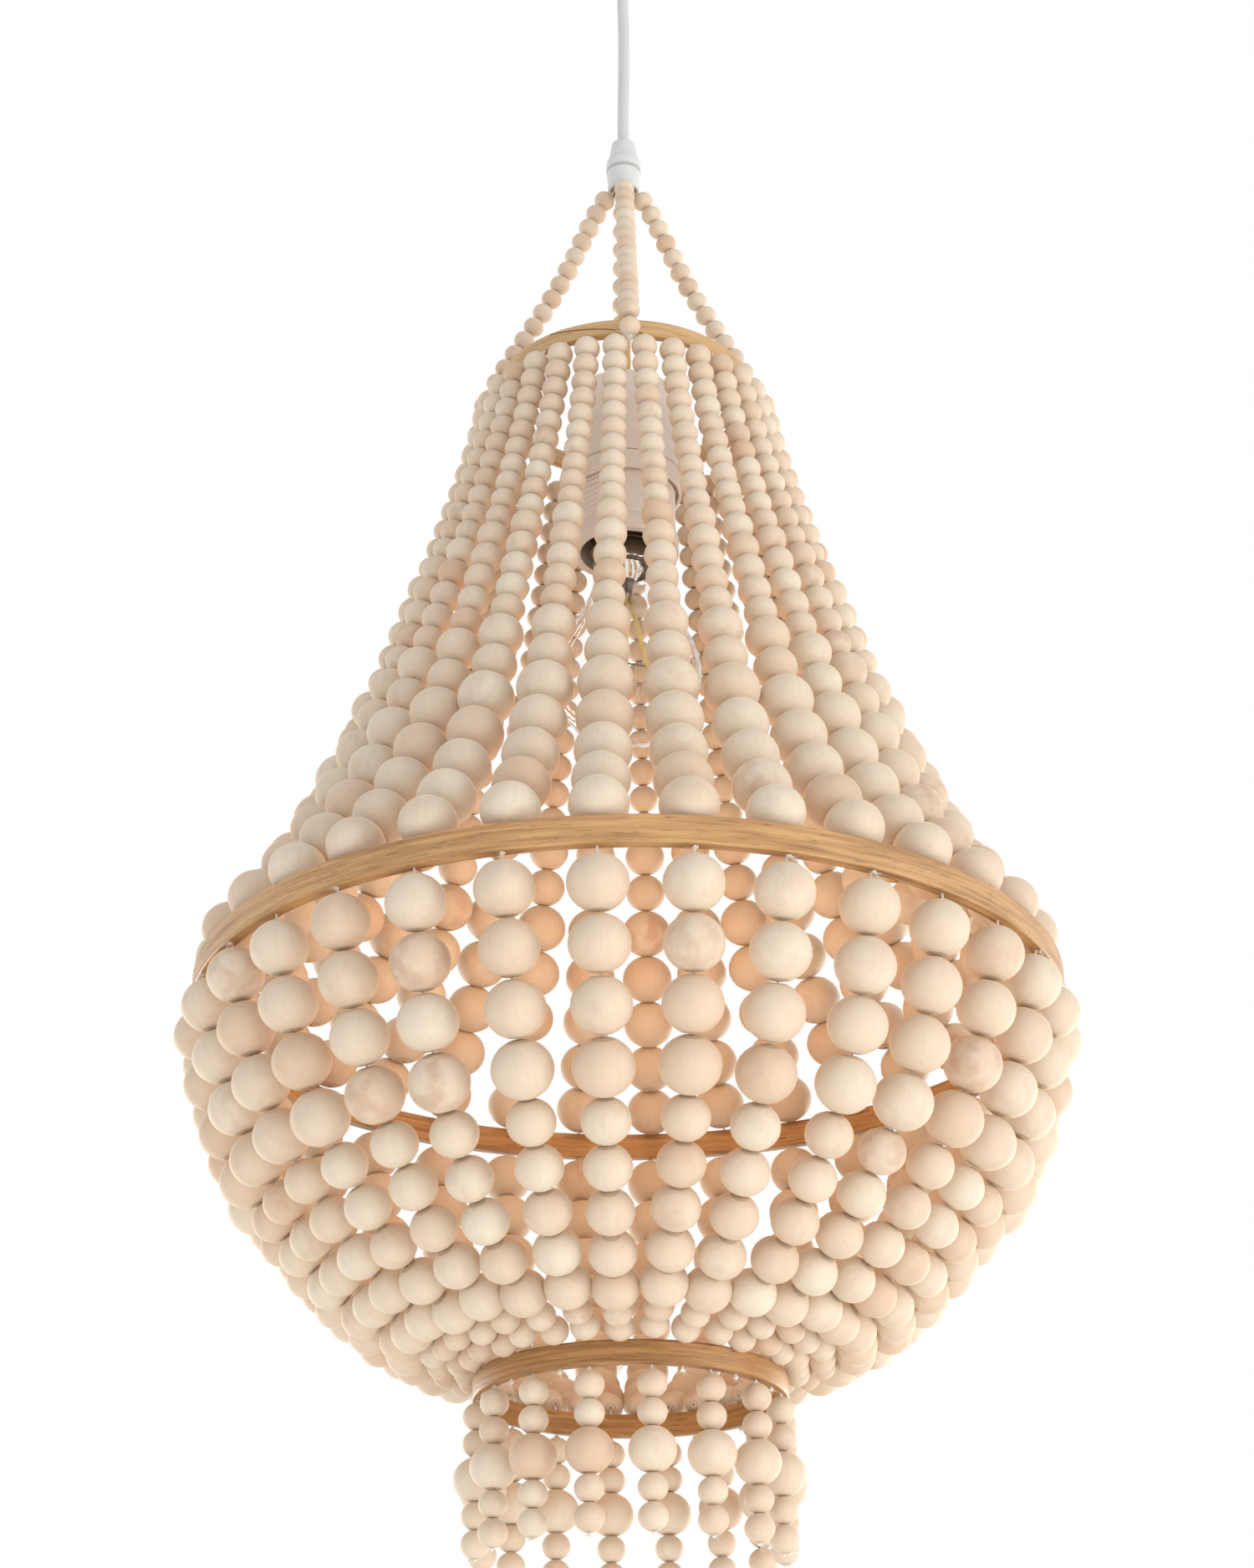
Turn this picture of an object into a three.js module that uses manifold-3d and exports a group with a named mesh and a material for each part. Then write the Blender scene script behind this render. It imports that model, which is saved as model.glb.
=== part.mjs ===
// Beaded chandelier: a flared cone and a bowl of wooden bead strings on three bamboo hoops,
// hung by four short bead strings from the grip of a white flex, with a lampholder inside.
// Millimetres, +Z up, -Y to the front, origin on the ceiling above the flex.
import * as THREE from 'three';
import { mergeVertices } from 'three/addons/utils/BufferGeometryUtils.js';
import Module from 'manifold-3d';

const wasm = await Module();
wasm.setup();

// Fits shared by all pieces
const seatGap = 0.3;
const cutOverrun = 2;
const weldTolerance = 0.0001;

// Beads and thread
const hangerBead = 8.4;
const smallBead = 10;
const mediumBead = 12;
const largeBead = 16;
const giantBead = 20;
const threadDiameter = 1.2;
const middleThreadHole = 2.8;
const topThreadHole = 2.1;
const boreFlatShare = 0.3;
const smallBeadSides = 3;
const largeBeadSides = 4;
const threadSides = 3;
const drillSides = 4;

// Bead patterns, in order from the top of each string
const coneBeads = [
  ...Array(10).fill(smallBead),
  ...Array(5).fill(mediumBead),
  ...Array(2).fill(largeBead),
  ...Array(5).fill(giantBead),
];
const bowlBeads = [
  ...Array(4).fill(giantBead),
  ...Array(5).fill(largeBead),
  ...Array(2).fill(smallBead),
];
const fringeBeads = [smallBead, smallBead, largeBead, smallBead, smallBead];
const hangerBeads = Array(14).fill(hangerBead);
const stringCount = 32;
const hangerCount = 4;
const fringeCount = 16;

// Hoops: radius of the middle line of the strip, its height and its thickness
const topHoopRadius = 52;
const topHoopHeight = 7.5;
const topHoopThickness = 3.5;
const middleHoopRadius = 160;
const middleHoopHeight = 10.5;
const middleHoopThickness = 5;
const lowerHoopRadius = 54;
const lowerHoopHeight = 8.5;
const lowerHoopThickness = 3.8;
const smallHoopSegments = 32;
const largeHoopSegments = 40;

// Heights of the lamp, from one level to the next
const gripToTopHoop = 109;
const topToMiddleHoop = 273;
const middleToLowerHoop = 143.8;
const gripToHolder = 97;

// Where the strings start and end at the hoops
const coneStartOut = 3.75;
const coneStartDrop = 4.75;
const coneEndInset = 2.6;
const coneEndRise = 2.75;
const bowlStartDrop = 2;
const bowlEndRise = 2.8;
const fringeStub = 0.65;
const hangerPhase = THREE.MathUtils.degToRad(2.1);

// Ceiling cup and bracket
const cupRadius = 50;
const cupWall = 2;
const cupStraight = 16;
const cupNeckRadius = 9.5;
const cupHeight = 55;
const cupSegments = 24;
const bracketThickness = 2;
const bracketWidth = 18;
const bracketEarDrop = 14;
const slotLength = 14;
const slotWidth = 4.6;
const slotFromCentre = 26;
const screwDrop = 8;
const screwShankRadius = 1.5;
const screwHole = 1.9;
const screwHeadRadius = 3.2;
const screwHeadHeight = 2.2;
const screwReach = 11;
const screwSegments = 8;
const blockLength = 22;
const blockWidth = 14;
const blockHeight = 11;
const blockCorner = 2;

// Flex and its strain relief
const cordDiameter = 5.2;
const cordSides = 8;
const cordFreeLength = 99.3;
const cordSteps = 12;
const reliefLength = 24;
const reliefBall = 6;
const reliefTopRadius = 3.9;
const reliefEndRadius = 3.3;
const reliefNose = 0.9;
const ballClearance = 0.4;
const ballSeatDepth = 3.5;
const ballRows = 5;
const smallSegments = 16;

// Cord grip: flared nut above, tapered cup below
const gripBore = 5.8;
const nutTopRadius = 4.4;
const nutShoulderRadius = 5.3;
const nutShoulderDrop = 1;
const nutWaistRadius = 6.3;
const nutWaistDrop = 8.8;
const nutFlareRadius = 7.55;
const nutFlareDrop = 11.2;
const nutHeight = 15.9;
const gripCupTopRadius = 7.3;
const gripCupRadius = 6.7;
const gripCupHeight = 10;
const gripCavityRadius = 5.4;
const gripCavityDepth = 7.5;

// Hangers
const hangerRootRadius = 4;
const hangerTopRadius = 8.4;
const hangerTopDrop = 4.9;
const hangerSag = 2.3;
const hangerEndOut = 1.1;
const hangerTieGap = 0.8;
const hangerTieDrop = 1.7;
const hangerTurnShare = 0.68;

// Lampholder, drops measured from its top
const holderNippleRadius = 6.5;
const holderNippleHeight = 6;
const holderShoulderRadius = 19;
const holderShoulderDrop = 8.8;
const holderTopRadius = 22;
const holderTopDrop = 10.5;
const holderCapRadius = 23.5;
const holderCapHeight = 49.5;
const holderWall = 2;
const collarRadius = 23.2;
const collarHeight = 8.5;
const skirtRadius = 20.5;
const skirtHeight = 27.6;
const skirtInnerRadius = 18.4;
const rimRadius = 21.8;
const rimHeight = 6.5;
const rimRise = 1.5;
const insertHeight = 10;
const insertRise = 1.5;
const holderSegments = 16;

// Threaded shell, contact and bulb
const shellInnerRadius = 13.6;
const shellWall = 0.6;
const shellHeight = 27;
const contactWidth = 5;
const contactThickness = 0.6;
const contactFoot = 7;
const capRadius = 13.1;
const capHeight = 27;
const capThreadHeight = 20;
const capInsulatorRadius = 9;
const capInsulatorDrop = 3;
const capTipRadius = 4.6;
const capTipHeight = 1.5;
const bulbDrop = 6.4;
const bulbRadius = 30;
const bulbHeight = 79;
const bulbNeckRadius = 12.6;
const bulbWall = 0.8;
const bulbSegments = 14;
const bulbRows = 5;
const bulbShoulder = THREE.MathUtils.degToRad(32);
const bulbNeckShares = [[0, 0], [0.3, 0.08], [0.68, 0.47]];
const stemRadius = 3;
const stemFootRadius = 8;
const stemHeight = 30;
const filamentLength = 32;
const filamentRadius = 0.9;
const filamentTopRing = 1.8;
const filamentEndRing = 8.5;
const filamentCount = 4;
const filamentOverlap = 1.5;
const stemSegments = 8;

// Levels worked out from the sizes above, all below the ceiling at zero
const neckLevel = -cupHeight;
const ballLevel = neckLevel + ballSeatDepth;
const reliefEnd = neckLevel - reliefLength;
const cordTop = reliefEnd - seatGap;
const cordEnd = cordTop - cordFreeLength;
const gripTop = cordEnd - seatGap;
const gripSeam = gripTop - nutHeight;
const gripCupTop = gripSeam - seatGap;
const gripBottom = gripCupTop - gripCupHeight;
const topHoopLevel = gripBottom - gripToTopHoop;
const middleHoopLevel = topHoopLevel - topToMiddleHoop;
const lowerHoopLevel = middleHoopLevel - middleToLowerHoop;
const holderTop = gripBottom - gripToHolder;
const skirtTop = holderTop - holderCapHeight - seatGap;
const skirtBottom = skirtTop - collarHeight - skirtHeight;
const insertTop = skirtTop + insertRise;
const threadRadius = threadDiameter / 2;
const stringPitch = 2 * Math.PI / stringCount;

// Angle of a string round the lamp in radians, from the front towards +X
function stringAzimuth(index) {
  return hangerPhase + (index + 0.5) * stringPitch;
}

// A point given by its distance from the axis, its angle from the front and its height
function polar(radius, azimuth, height) {
  return new THREE.Vector3(radius * Math.sin(azimuth), -radius * Math.cos(azimuth), height);
}

// Six times the signed volume under the triangles: negative when the faces point inwards
function signedVolume(geometry) {
  const position = geometry.attributes.position;
  const index = geometry.index.array;
  const corner = [new THREE.Vector3(), new THREE.Vector3(), new THREE.Vector3()];
  let sum = 0;
  for (let i = 0; i < index.length; i += 3) {
    corner.forEach((vector, k) => vector.fromBufferAttribute(position, index[i + k]));
    sum += corner[0].dot(corner[1].clone().cross(corner[2]));
  }
  return sum;
}

// Any closed geometry as one solid: shared vertices merged, faces turned outwards
function solid(geometry) {
  const loose = geometry.index ? geometry.toNonIndexed() : geometry.clone();
  loose.deleteAttribute('normal');
  loose.deleteAttribute('uv');
  const merged = mergeVertices(loose, weldTolerance);
  const old = merged.index.array;
  const kept = [];
  for (let i = 0; i < old.length; i += 3) {
    const [a, b, c] = [old[i], old[i + 1], old[i + 2]];
    if (a !== b && b !== c && c !== a) {
      kept.push(a, b, c);
    }
  }
  merged.setIndex(kept);
  if (signedVolume(merged) < 0) {
    const flipped = [];
    for (let i = 0; i < kept.length; i += 3) {
      flipped.push(kept[i], kept[i + 2], kept[i + 1]);
    }
    merged.setIndex(flipped);
  }
  return merged;
}

// A turned piece from its profile, a list of [radius, height] that closes or ends on the axis
function turned(profile, segments) {
  const points = profile.map(([radius, height]) => new THREE.Vector2(radius, height));
  const lathe = new THREE.LatheGeometry(points, segments);
  lathe.rotateX(Math.PI / 2);
  return solid(lathe);
}

// A turned ring or shell, whose profile is closed here
function turnedRing(profile, segments) {
  return turned([...profile, profile[0]], segments);
}

function toManifold(geometry) {
  return new wasm.Manifold(new wasm.Mesh({
    numProp: 3,
    vertProperties: new Float32Array(geometry.attributes.position.array),
    triVerts: new Uint32Array(geometry.index.array),
  }));
}

function fromManifold(body) {
  const mesh = body.getMesh();
  const geometry = new THREE.BufferGeometry();
  geometry.setAttribute('position', new THREE.Float32BufferAttribute(mesh.vertProperties, 3));
  geometry.setIndex(Array.from(mesh.triVerts));
  return geometry;
}

function withCuts(geometry, cutters) {
  let body = toManifold(geometry);
  for (const cutter of cutters) {
    body = body.subtract(toManifold(cutter));
  }
  return fromManifold(body);
}

function withAdded(geometry, additions) {
  let body = toManifold(geometry);
  for (const addition of additions) {
    body = body.add(toManifold(addition));
  }
  return fromManifold(body);
}

// An upright post between two heights, used for pieces and for drilling
function post(radius, low, high, segments) {
  const geometry = new THREE.CylinderGeometry(radius, radius, high - low, segments);
  geometry.rotateX(Math.PI / 2);
  geometry.translate(0, 0, (low + high) / 2);
  return solid(geometry);
}

// One ring of a thread or bead: where it lies, its radius and its number of corners
function ring(at, radius, sides) {
  return { at, radius, sides };
}

function sidesOf(diameter) {
  return diameter < largeBead ? smallBeadSides : largeBeadSides;
}

// Rings of a run of beads: each bead takes its share of the path, wide at its middle
// and narrowed to the flat round its bore at both ends
function beadRun(path, diameters) {
  const total = diameters.reduce((sum, diameter) => sum + diameter, 0);
  const rings = [];
  let passed = 0;
  diameters.forEach((diameter, i) => {
    const narrower = Math.min(diameter, i === 0 ? diameter : diameters[i - 1]);
    rings.push(ring(path.getPointAt(passed / total), narrower * boreFlatShare / 2, sidesOf(narrower)));
    const middle = path.getPointAt((passed + diameter / 2) / total);
    rings.push(ring(middle, diameter / 2, sidesOf(diameter)));
    passed += diameter;
  });
  const last = diameters[diameters.length - 1];
  rings.push(ring(path.getPointAt(1), last * boreFlatShare / 2, sidesOf(last)));
  return rings;
}

function threadRing(at) {
  return ring(at, threadRadius, threadSides);
}

// Triangles between two rings, which may have different numbers of corners
function bridge(index, low, high) {
  let i = 0;
  let j = 0;
  while (i < low.length || j < high.length) {
    const stepLow = j >= high.length
      || (i < low.length && (i + 0.5) / low.length <= (j + 0.5) / high.length);
    const a = low[i % low.length];
    const b = high[j % high.length];
    if (stepLow) {
      i += 1;
      index.push(a, low[i % low.length], b);
    } else {
      j += 1;
      index.push(a, high[j % high.length], b);
    }
  }
}

// A threaded string as one solid: its rings are carried along the path without twisting
function stringSolid(rings) {
  const positions = [];
  const index = [];
  const corners = [];
  const carried = new THREE.Vector3();
  let lastTangent = null;
  rings.forEach((one, i) => {
    const before = rings[Math.max(i - 1, 0)].at;
    const after = rings[Math.min(i + 1, rings.length - 1)].at;
    const tangent = after.clone().sub(before).normalize();
    if (lastTangent) {
      carried.applyQuaternion(new THREE.Quaternion().setFromUnitVectors(lastTangent, tangent));
    } else {
      const helper = Math.abs(tangent.z) < 0.9 ? new THREE.Vector3(0, 0, 1) : polar(1, hangerPhase, 0);
      carried.copy(helper);
    }
    carried.addScaledVector(tangent, -carried.dot(tangent)).normalize();
    const across = tangent.clone().cross(carried);
    const ids = [];
    for (let k = 0; k < one.sides; k += 1) {
      const angle = 2 * Math.PI * k / one.sides;
      const corner = one.at.clone();
      corner.addScaledVector(carried, one.radius * Math.cos(angle));
      corner.addScaledVector(across, one.radius * Math.sin(angle));
      ids.push(positions.length / 3);
      positions.push(corner.x, corner.y, corner.z);
    }
    corners.push(ids);
    lastTangent = tangent;
  });
  const first = corners[0];
  const last = corners[corners.length - 1];
  for (let k = 1; k < first.length - 1; k += 1) {
    index.push(first[0], first[k + 1], first[k]);
  }
  for (let i = 0; i < corners.length - 1; i += 1) {
    bridge(index, corners[i], corners[i + 1]);
  }
  for (let k = 1; k < last.length - 1; k += 1) {
    index.push(last[0], last[k], last[k + 1]);
  }
  const geometry = new THREE.BufferGeometry();
  geometry.setAttribute('position', new THREE.Float32BufferAttribute(positions, 3));
  geometry.setIndex(index);
  return solid(geometry);
}

// A curve in the upright plane of one string, from shares of its drop and of its reach
function stringPath(azimuth, start, end, shares) {
  const points = shares.map(([dropShare, reachShare]) => {
    const radius = start.radius + reachShare * (end.radius - start.radius);
    const height = start.height + dropShare * (end.height - start.height);
    return polar(radius, azimuth, height);
  });
  return new THREE.CatmullRomCurve3(points);
}

// A straight-sided hoop strip
function hoop(radius, height, thickness, level, segments) {
  const inner = radius - thickness / 2;
  const outer = radius + thickness / 2;
  return turnedRing([
    [inner, level - height / 2],
    [outer, level - height / 2],
    [outer, level + height / 2],
    [inner, level + height / 2],
  ], segments);
}

// Materials: colour, roughness and metalness of each finish
function finish(color, roughness, metalness) {
  return new THREE.MeshStandardMaterial({ color, roughness, metalness });
}
const paleWood = finish(0xe4d2b6, 0.65, 0);
const bamboo = finish(0xc39c66, 0.4, 0);
const whitePlastic = finish(0xe2e2de, 0.4, 0);
const flexPlastic = finish(0xd9d9d6, 0.35, 0);
const zincSteel = finish(0xb4b7ba, 0.35, 1);
const nickel = finish(0xa9a59c, 0.3, 1);
const brass = finish(0xc9a558, 0.3, 1);
const clearGlass = finish(0xf4f6f6, 0.05, 0);
const phosphor = finish(0xf0c64a, 0.5, 0);

const chandelier = new THREE.Group();

function addPiece(name, geometry, material) {
  const mesh = new THREE.Mesh(geometry, material);
  mesh.name = name;
  chandelier.add(mesh);
}

// Steel bracket: a bar with two ears turned down inside the cup, slotted for ceiling screws
const cupInner = cupRadius - cupWall;
const cupInnerFlat = cupInner * Math.cos(Math.PI / cupSegments);
const earReach = Math.sqrt(cupInnerFlat ** 2 - (bracketWidth / 2) ** 2) - seatGap;

function slotCutter(x) {
  const straight = (slotLength - slotWidth) / 2;
  const outline = new THREE.Shape();
  outline.absarc(straight, 0, slotWidth / 2, -Math.PI / 2, Math.PI / 2);
  outline.absarc(-straight, 0, slotWidth / 2, Math.PI / 2, 3 * Math.PI / 2);
  const depth = bracketThickness + 2 * cutOverrun;
  const cutter = new THREE.ExtrudeGeometry(outline, { depth, bevelEnabled: false, curveSegments: 4 });
  cutter.translate(x, 0, -bracketThickness - cutOverrun);
  return solid(cutter);
}

// A hole or a screw's body lying along X, between two distances from the axis
function sideRod(radius, from, to, level) {
  const rod = new THREE.CylinderGeometry(radius, radius, to - from, screwSegments);
  rod.rotateZ(Math.PI / 2);
  rod.translate((from + to) / 2, 0, level);
  return solid(rod);
}

function bracket() {
  const outline = new THREE.Shape();
  outline.moveTo(-earReach, 0);
  outline.lineTo(earReach, 0);
  outline.lineTo(earReach, -bracketEarDrop);
  outline.lineTo(earReach - bracketThickness, -bracketEarDrop);
  outline.lineTo(earReach - bracketThickness, -bracketThickness);
  outline.lineTo(-earReach + bracketThickness, -bracketThickness);
  outline.lineTo(-earReach + bracketThickness, -bracketEarDrop);
  outline.lineTo(-earReach, -bracketEarDrop);
  outline.closePath();
  const bar = new THREE.ExtrudeGeometry(outline, { depth: bracketWidth, bevelEnabled: false });
  bar.rotateX(Math.PI / 2);
  bar.translate(0, bracketWidth / 2, 0);
  const holeStart = earReach - bracketThickness - cutOverrun;
  const holeEnd = earReach + cutOverrun;
  return withCuts(solid(bar), [
    slotCutter(slotFromCentre),
    slotCutter(-slotFromCentre),
    sideRod(screwHole, holeStart, holeEnd, -screwDrop),
    sideRod(screwHole, -holeEnd, -holeStart, -screwDrop),
  ]);
}
addPiece('ceiling_bracket', bracket(), zincSteel);

// Ceiling cup: straight at the rim, conical below, with a ball seat in its neck
function ceilingCup() {
  const seatRadius = reliefBall + ballClearance;
  const neckWallTop = ballLevel + seatRadius;
  const seat = [];
  const lowest = Math.asin(ballSeatDepth / seatRadius);
  for (let row = 0; row <= 2; row += 1) {
    const angle = -lowest * (1 - row / 2);
    seat.push([seatRadius * Math.cos(angle), ballLevel + seatRadius * Math.sin(angle)]);
  }
  const shell = turnedRing([
    [cupInner, -seatGap],
    [cupInner, -cupStraight],
    [cupNeckRadius - cupWall / 2, neckWallTop + cupWall],
    [seatRadius, neckWallTop],
    ...seat.reverse(),
    [cupNeckRadius, neckLevel],
    [cupNeckRadius + cupWall, neckWallTop],
    [cupRadius, -cupStraight],
    [cupRadius, -seatGap],
  ], cupSegments);
  const holeStart = cupInner - cutOverrun;
  const holeEnd = cupRadius + cutOverrun;
  return withCuts(shell, [
    sideRod(screwHole, holeStart, holeEnd, -screwDrop),
    sideRod(screwHole, -holeEnd, -holeStart, -screwDrop),
  ]);
}
addPiece('ceiling_cup', ceilingCup(), whitePlastic);

// Pan head screws through the cup wall into the bracket ears
function cupScrew(side) {
  const headStart = cupRadius + seatGap;
  const profile = [
    [0, headStart - screwReach],
    [screwShankRadius, headStart - screwReach],
    [screwShankRadius, headStart],
    [screwHeadRadius, headStart],
    [screwHeadRadius, headStart + screwHeadHeight / 2],
    [screwHeadRadius / 2, headStart + screwHeadHeight],
    [0, headStart + screwHeadHeight],
  ];
  const screw = turned(profile, screwSegments);
  screw.rotateY(side * Math.PI / 2);
  screw.translate(0, 0, -screwDrop);
  return screw;
}
addPiece('cup_screw_right', cupScrew(1), zincSteel);
addPiece('cup_screw_left', cupScrew(-1), zincSteel);

// Terminal block under the bar, and the end of the flex that goes up into it
function roundedBlock(length, width, corner, low, high) {
  const halfLength = length / 2 - corner;
  const halfWidth = width / 2 - corner;
  const outline = new THREE.Shape();
  outline.absarc(halfLength, halfWidth, corner, 0, Math.PI / 2);
  outline.absarc(-halfLength, halfWidth, corner, Math.PI / 2, Math.PI);
  outline.absarc(-halfLength, -halfWidth, corner, Math.PI, 3 * Math.PI / 2);
  outline.absarc(halfLength, -halfWidth, corner, 3 * Math.PI / 2, 2 * Math.PI);
  const block = new THREE.ExtrudeGeometry(outline, {
    depth: high - low, bevelEnabled: false, curveSegments: 3,
  });
  block.translate(0, 0, low);
  return solid(block);
}
const blockTop = -bracketThickness - seatGap;
const blockBottom = blockTop - blockHeight;
const block = roundedBlock(blockLength, blockWidth, blockCorner, blockBottom, blockTop);
addPiece('terminal_block', block, whitePlastic);

// A stretch of flex along a route, with a section of few sides
function flex(route, steps) {
  const section = new THREE.Shape();
  for (let k = 0; k < cordSides; k += 1) {
    const angle = 2 * Math.PI * k / cordSides;
    const x = cordDiameter / 2 * Math.cos(angle);
    const y = cordDiameter / 2 * Math.sin(angle);
    if (k === 0) {
      section.moveTo(x, y);
    } else {
      section.lineTo(x, y);
    }
  }
  section.closePath();
  const extrudePath = new THREE.CatmullRomCurve3(route);
  return solid(new THREE.ExtrudeGeometry(section, { steps, extrudePath, bevelEnabled: false }));
}
const tailStart = ballLevel + reliefBall + seatGap;
const tail = [new THREE.Vector3(0, 0, tailStart), new THREE.Vector3(0, 0, blockBottom - seatGap)];
addPiece('cord_tail', flex(tail, 1), flexPlastic);

// Strain relief: a ball held in the cup's neck and a tapered sleeve down to the flex
function strainRelief() {
  const profile = [];
  const lowest = Math.acos(reliefTopRadius / reliefBall);
  for (let row = 0; row <= ballRows; row += 1) {
    const angle = Math.PI / 2 - (Math.PI / 2 + lowest) * row / ballRows;
    profile.push([reliefBall * Math.cos(angle), ballLevel + reliefBall * Math.sin(angle)]);
  }
  profile[0][0] = 0;
  profile.push([reliefEndRadius, reliefEnd + reliefNose]);
  profile.push([0, reliefEnd]);
  return turned(profile, smallSegments);
}
addPiece('strain_relief', strainRelief(), whitePlastic);

// Free stretch of the flex: sideways wander and drop of each point, from the top down
const cordWander = [0, 0, 0.05, 0.15, 0.3, 0.45, 0.5, 0.5, 0.45, 0.35, 0.25, 0.15, 0.05, 0, 0];
const cordRoute = cordWander.map((wander, i) => {
  const dropShare = i / (cordWander.length - 1);
  return new THREE.Vector3(wander, 0, cordTop - dropShare * cordFreeLength);
});
addPiece('supply_cord', flex(cordRoute, cordSteps), flexPlastic);

// Cord grip: the flared clamping nut, and the cup with the hanger threads inside
const gripNut = turnedRing([
  [gripBore / 2, gripTop],
  [nutTopRadius, gripTop],
  [nutShoulderRadius, gripTop - nutShoulderDrop],
  [nutWaistRadius, gripTop - nutWaistDrop],
  [nutFlareRadius, gripTop - nutFlareDrop],
  [nutFlareRadius, gripSeam],
  [gripBore / 2, gripSeam],
], smallSegments);
addPiece('cord_grip_nut', gripNut, whitePlastic);
const cavityTop = gripBottom + gripCavityDepth;
const gripCup = turnedRing([
  [gripBore / 2, gripCupTop],
  [gripCupTopRadius, gripCupTop],
  [gripCupRadius, gripBottom],
  [gripCavityRadius, gripBottom],
  [gripCavityRadius, cavityTop],
  [gripBore / 2, cavityTop],
], smallSegments);
addPiece('cord_grip_cup', gripCup, whitePlastic);

// Flex from the grip down into the lampholder
const innerCord = [
  new THREE.Vector3(0, 0, gripTop),
  new THREE.Vector3(0, 0, insertTop + seatGap),
];
addPiece('inner_cord', flex(innerCord, 1), flexPlastic);

// Hoops; the top one and the middle one are drilled for every string
function drilledHoop(radius, height, thickness, level, segments, hole) {
  const low = level - height / 2 - cutOverrun;
  const high = level + height / 2 + cutOverrun;
  const drills = [];
  for (let i = 0; i < stringCount; i += 1) {
    const drill = post(hole / 2, low, high, drillSides);
    drill.rotateZ(stringAzimuth(i));
    const at = polar(radius, stringAzimuth(i), 0);
    drill.translate(at.x, at.y, 0);
    drills.push(drill);
  }
  return withCuts(hoop(radius, height, thickness, level, segments), drills);
}
const topHoop = drilledHoop(
  topHoopRadius, topHoopHeight, topHoopThickness, topHoopLevel, smallHoopSegments, topThreadHole);
addPiece('top_hoop', topHoop, bamboo);
const middleHoop = drilledHoop(
  middleHoopRadius, middleHoopHeight, middleHoopThickness, middleHoopLevel, largeHoopSegments,
  middleThreadHole);
addPiece('middle_hoop', middleHoop, bamboo);
const lowerHoop = hoop(
  lowerHoopRadius, lowerHoopHeight, lowerHoopThickness, lowerHoopLevel, smallHoopSegments);
addPiece('lower_hoop', lowerHoop, bamboo);

// Shape of the cone strings and of the bowl strings: shares of the drop and of the reach
const coneShares = [
  [0, 0], [0.127, 0.073], [0.262, 0.172], [0.418, 0.297], [0.572, 0.427],
  [0.706, 0.54], [0.815, 0.662], [0.899, 0.789], [0.96, 0.906], [1, 1],
];
const bowlShares = [
  [0, 0], [0.07, 0.019], [0.21, 0.062], [0.35, 0.121], [0.49, 0.2], [0.602, 0.297],
  [0.704, 0.399], [0.797, 0.507], [0.878, 0.632], [0.938, 0.767], [0.975, 0.88], [1, 1],
];

const topHoopOuter = topHoopRadius + topHoopThickness / 2;
const topHoopUpper = topHoopLevel + topHoopHeight / 2;
const topHoopUnder = topHoopLevel - topHoopHeight / 2;
const middleHoopUpper = middleHoopLevel + middleHoopHeight / 2;
const middleHoopUnder = middleHoopLevel - middleHoopHeight / 2;
const lowerHoopUpper = lowerHoopLevel + lowerHoopHeight / 2;
const lowerHoopUnder = lowerHoopLevel - lowerHoopHeight / 2;
const coneStart = { radius: topHoopOuter + coneStartOut, height: topHoopUnder - coneStartDrop };
const coneEnd = { radius: middleHoopRadius - coneEndInset, height: middleHoopUpper + coneEndRise };
const bowlStart = { radius: middleHoopRadius, height: middleHoopUnder - bowlStartDrop };
const bowlEnd = { radius: lowerHoopRadius, height: lowerHoopUpper + bowlEndRise };

// Rings of one whole string from the top hoop down to the lower hoop
function stringRings(azimuth) {
  return [
    threadRing(polar(topHoopRadius, azimuth, topHoopUpper + seatGap + threadRadius)),
    threadRing(polar(topHoopRadius, azimuth, topHoopUnder - seatGap)),
    ...beadRun(stringPath(azimuth, coneStart, coneEnd, coneShares), coneBeads),
    threadRing(polar(middleHoopRadius, azimuth, middleHoopUpper + seatGap)),
    threadRing(polar(middleHoopRadius, azimuth, middleHoopUnder - seatGap)),
    ...beadRun(stringPath(azimuth, bowlStart, bowlEnd, bowlShares), bowlBeads),
    threadRing(polar(lowerHoopRadius, azimuth, lowerHoopUpper + seatGap)),
  ];
}

// Each thread carries two neighbouring strings and crosses over the top hoop between them
function twoDigits(number) {
  return String(number).padStart(2, '0');
}
for (let pair = 0; pair < stringCount / 2; pair += 1) {
  const first = stringRings(stringAzimuth(2 * pair));
  const second = stringRings(stringAzimuth(2 * pair + 1));
  const strings = stringSolid([...first.reverse(), ...second]);
  addPiece(`string_pair_${twoDigits(pair + 1)}`, strings, paleWood);
}

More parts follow.
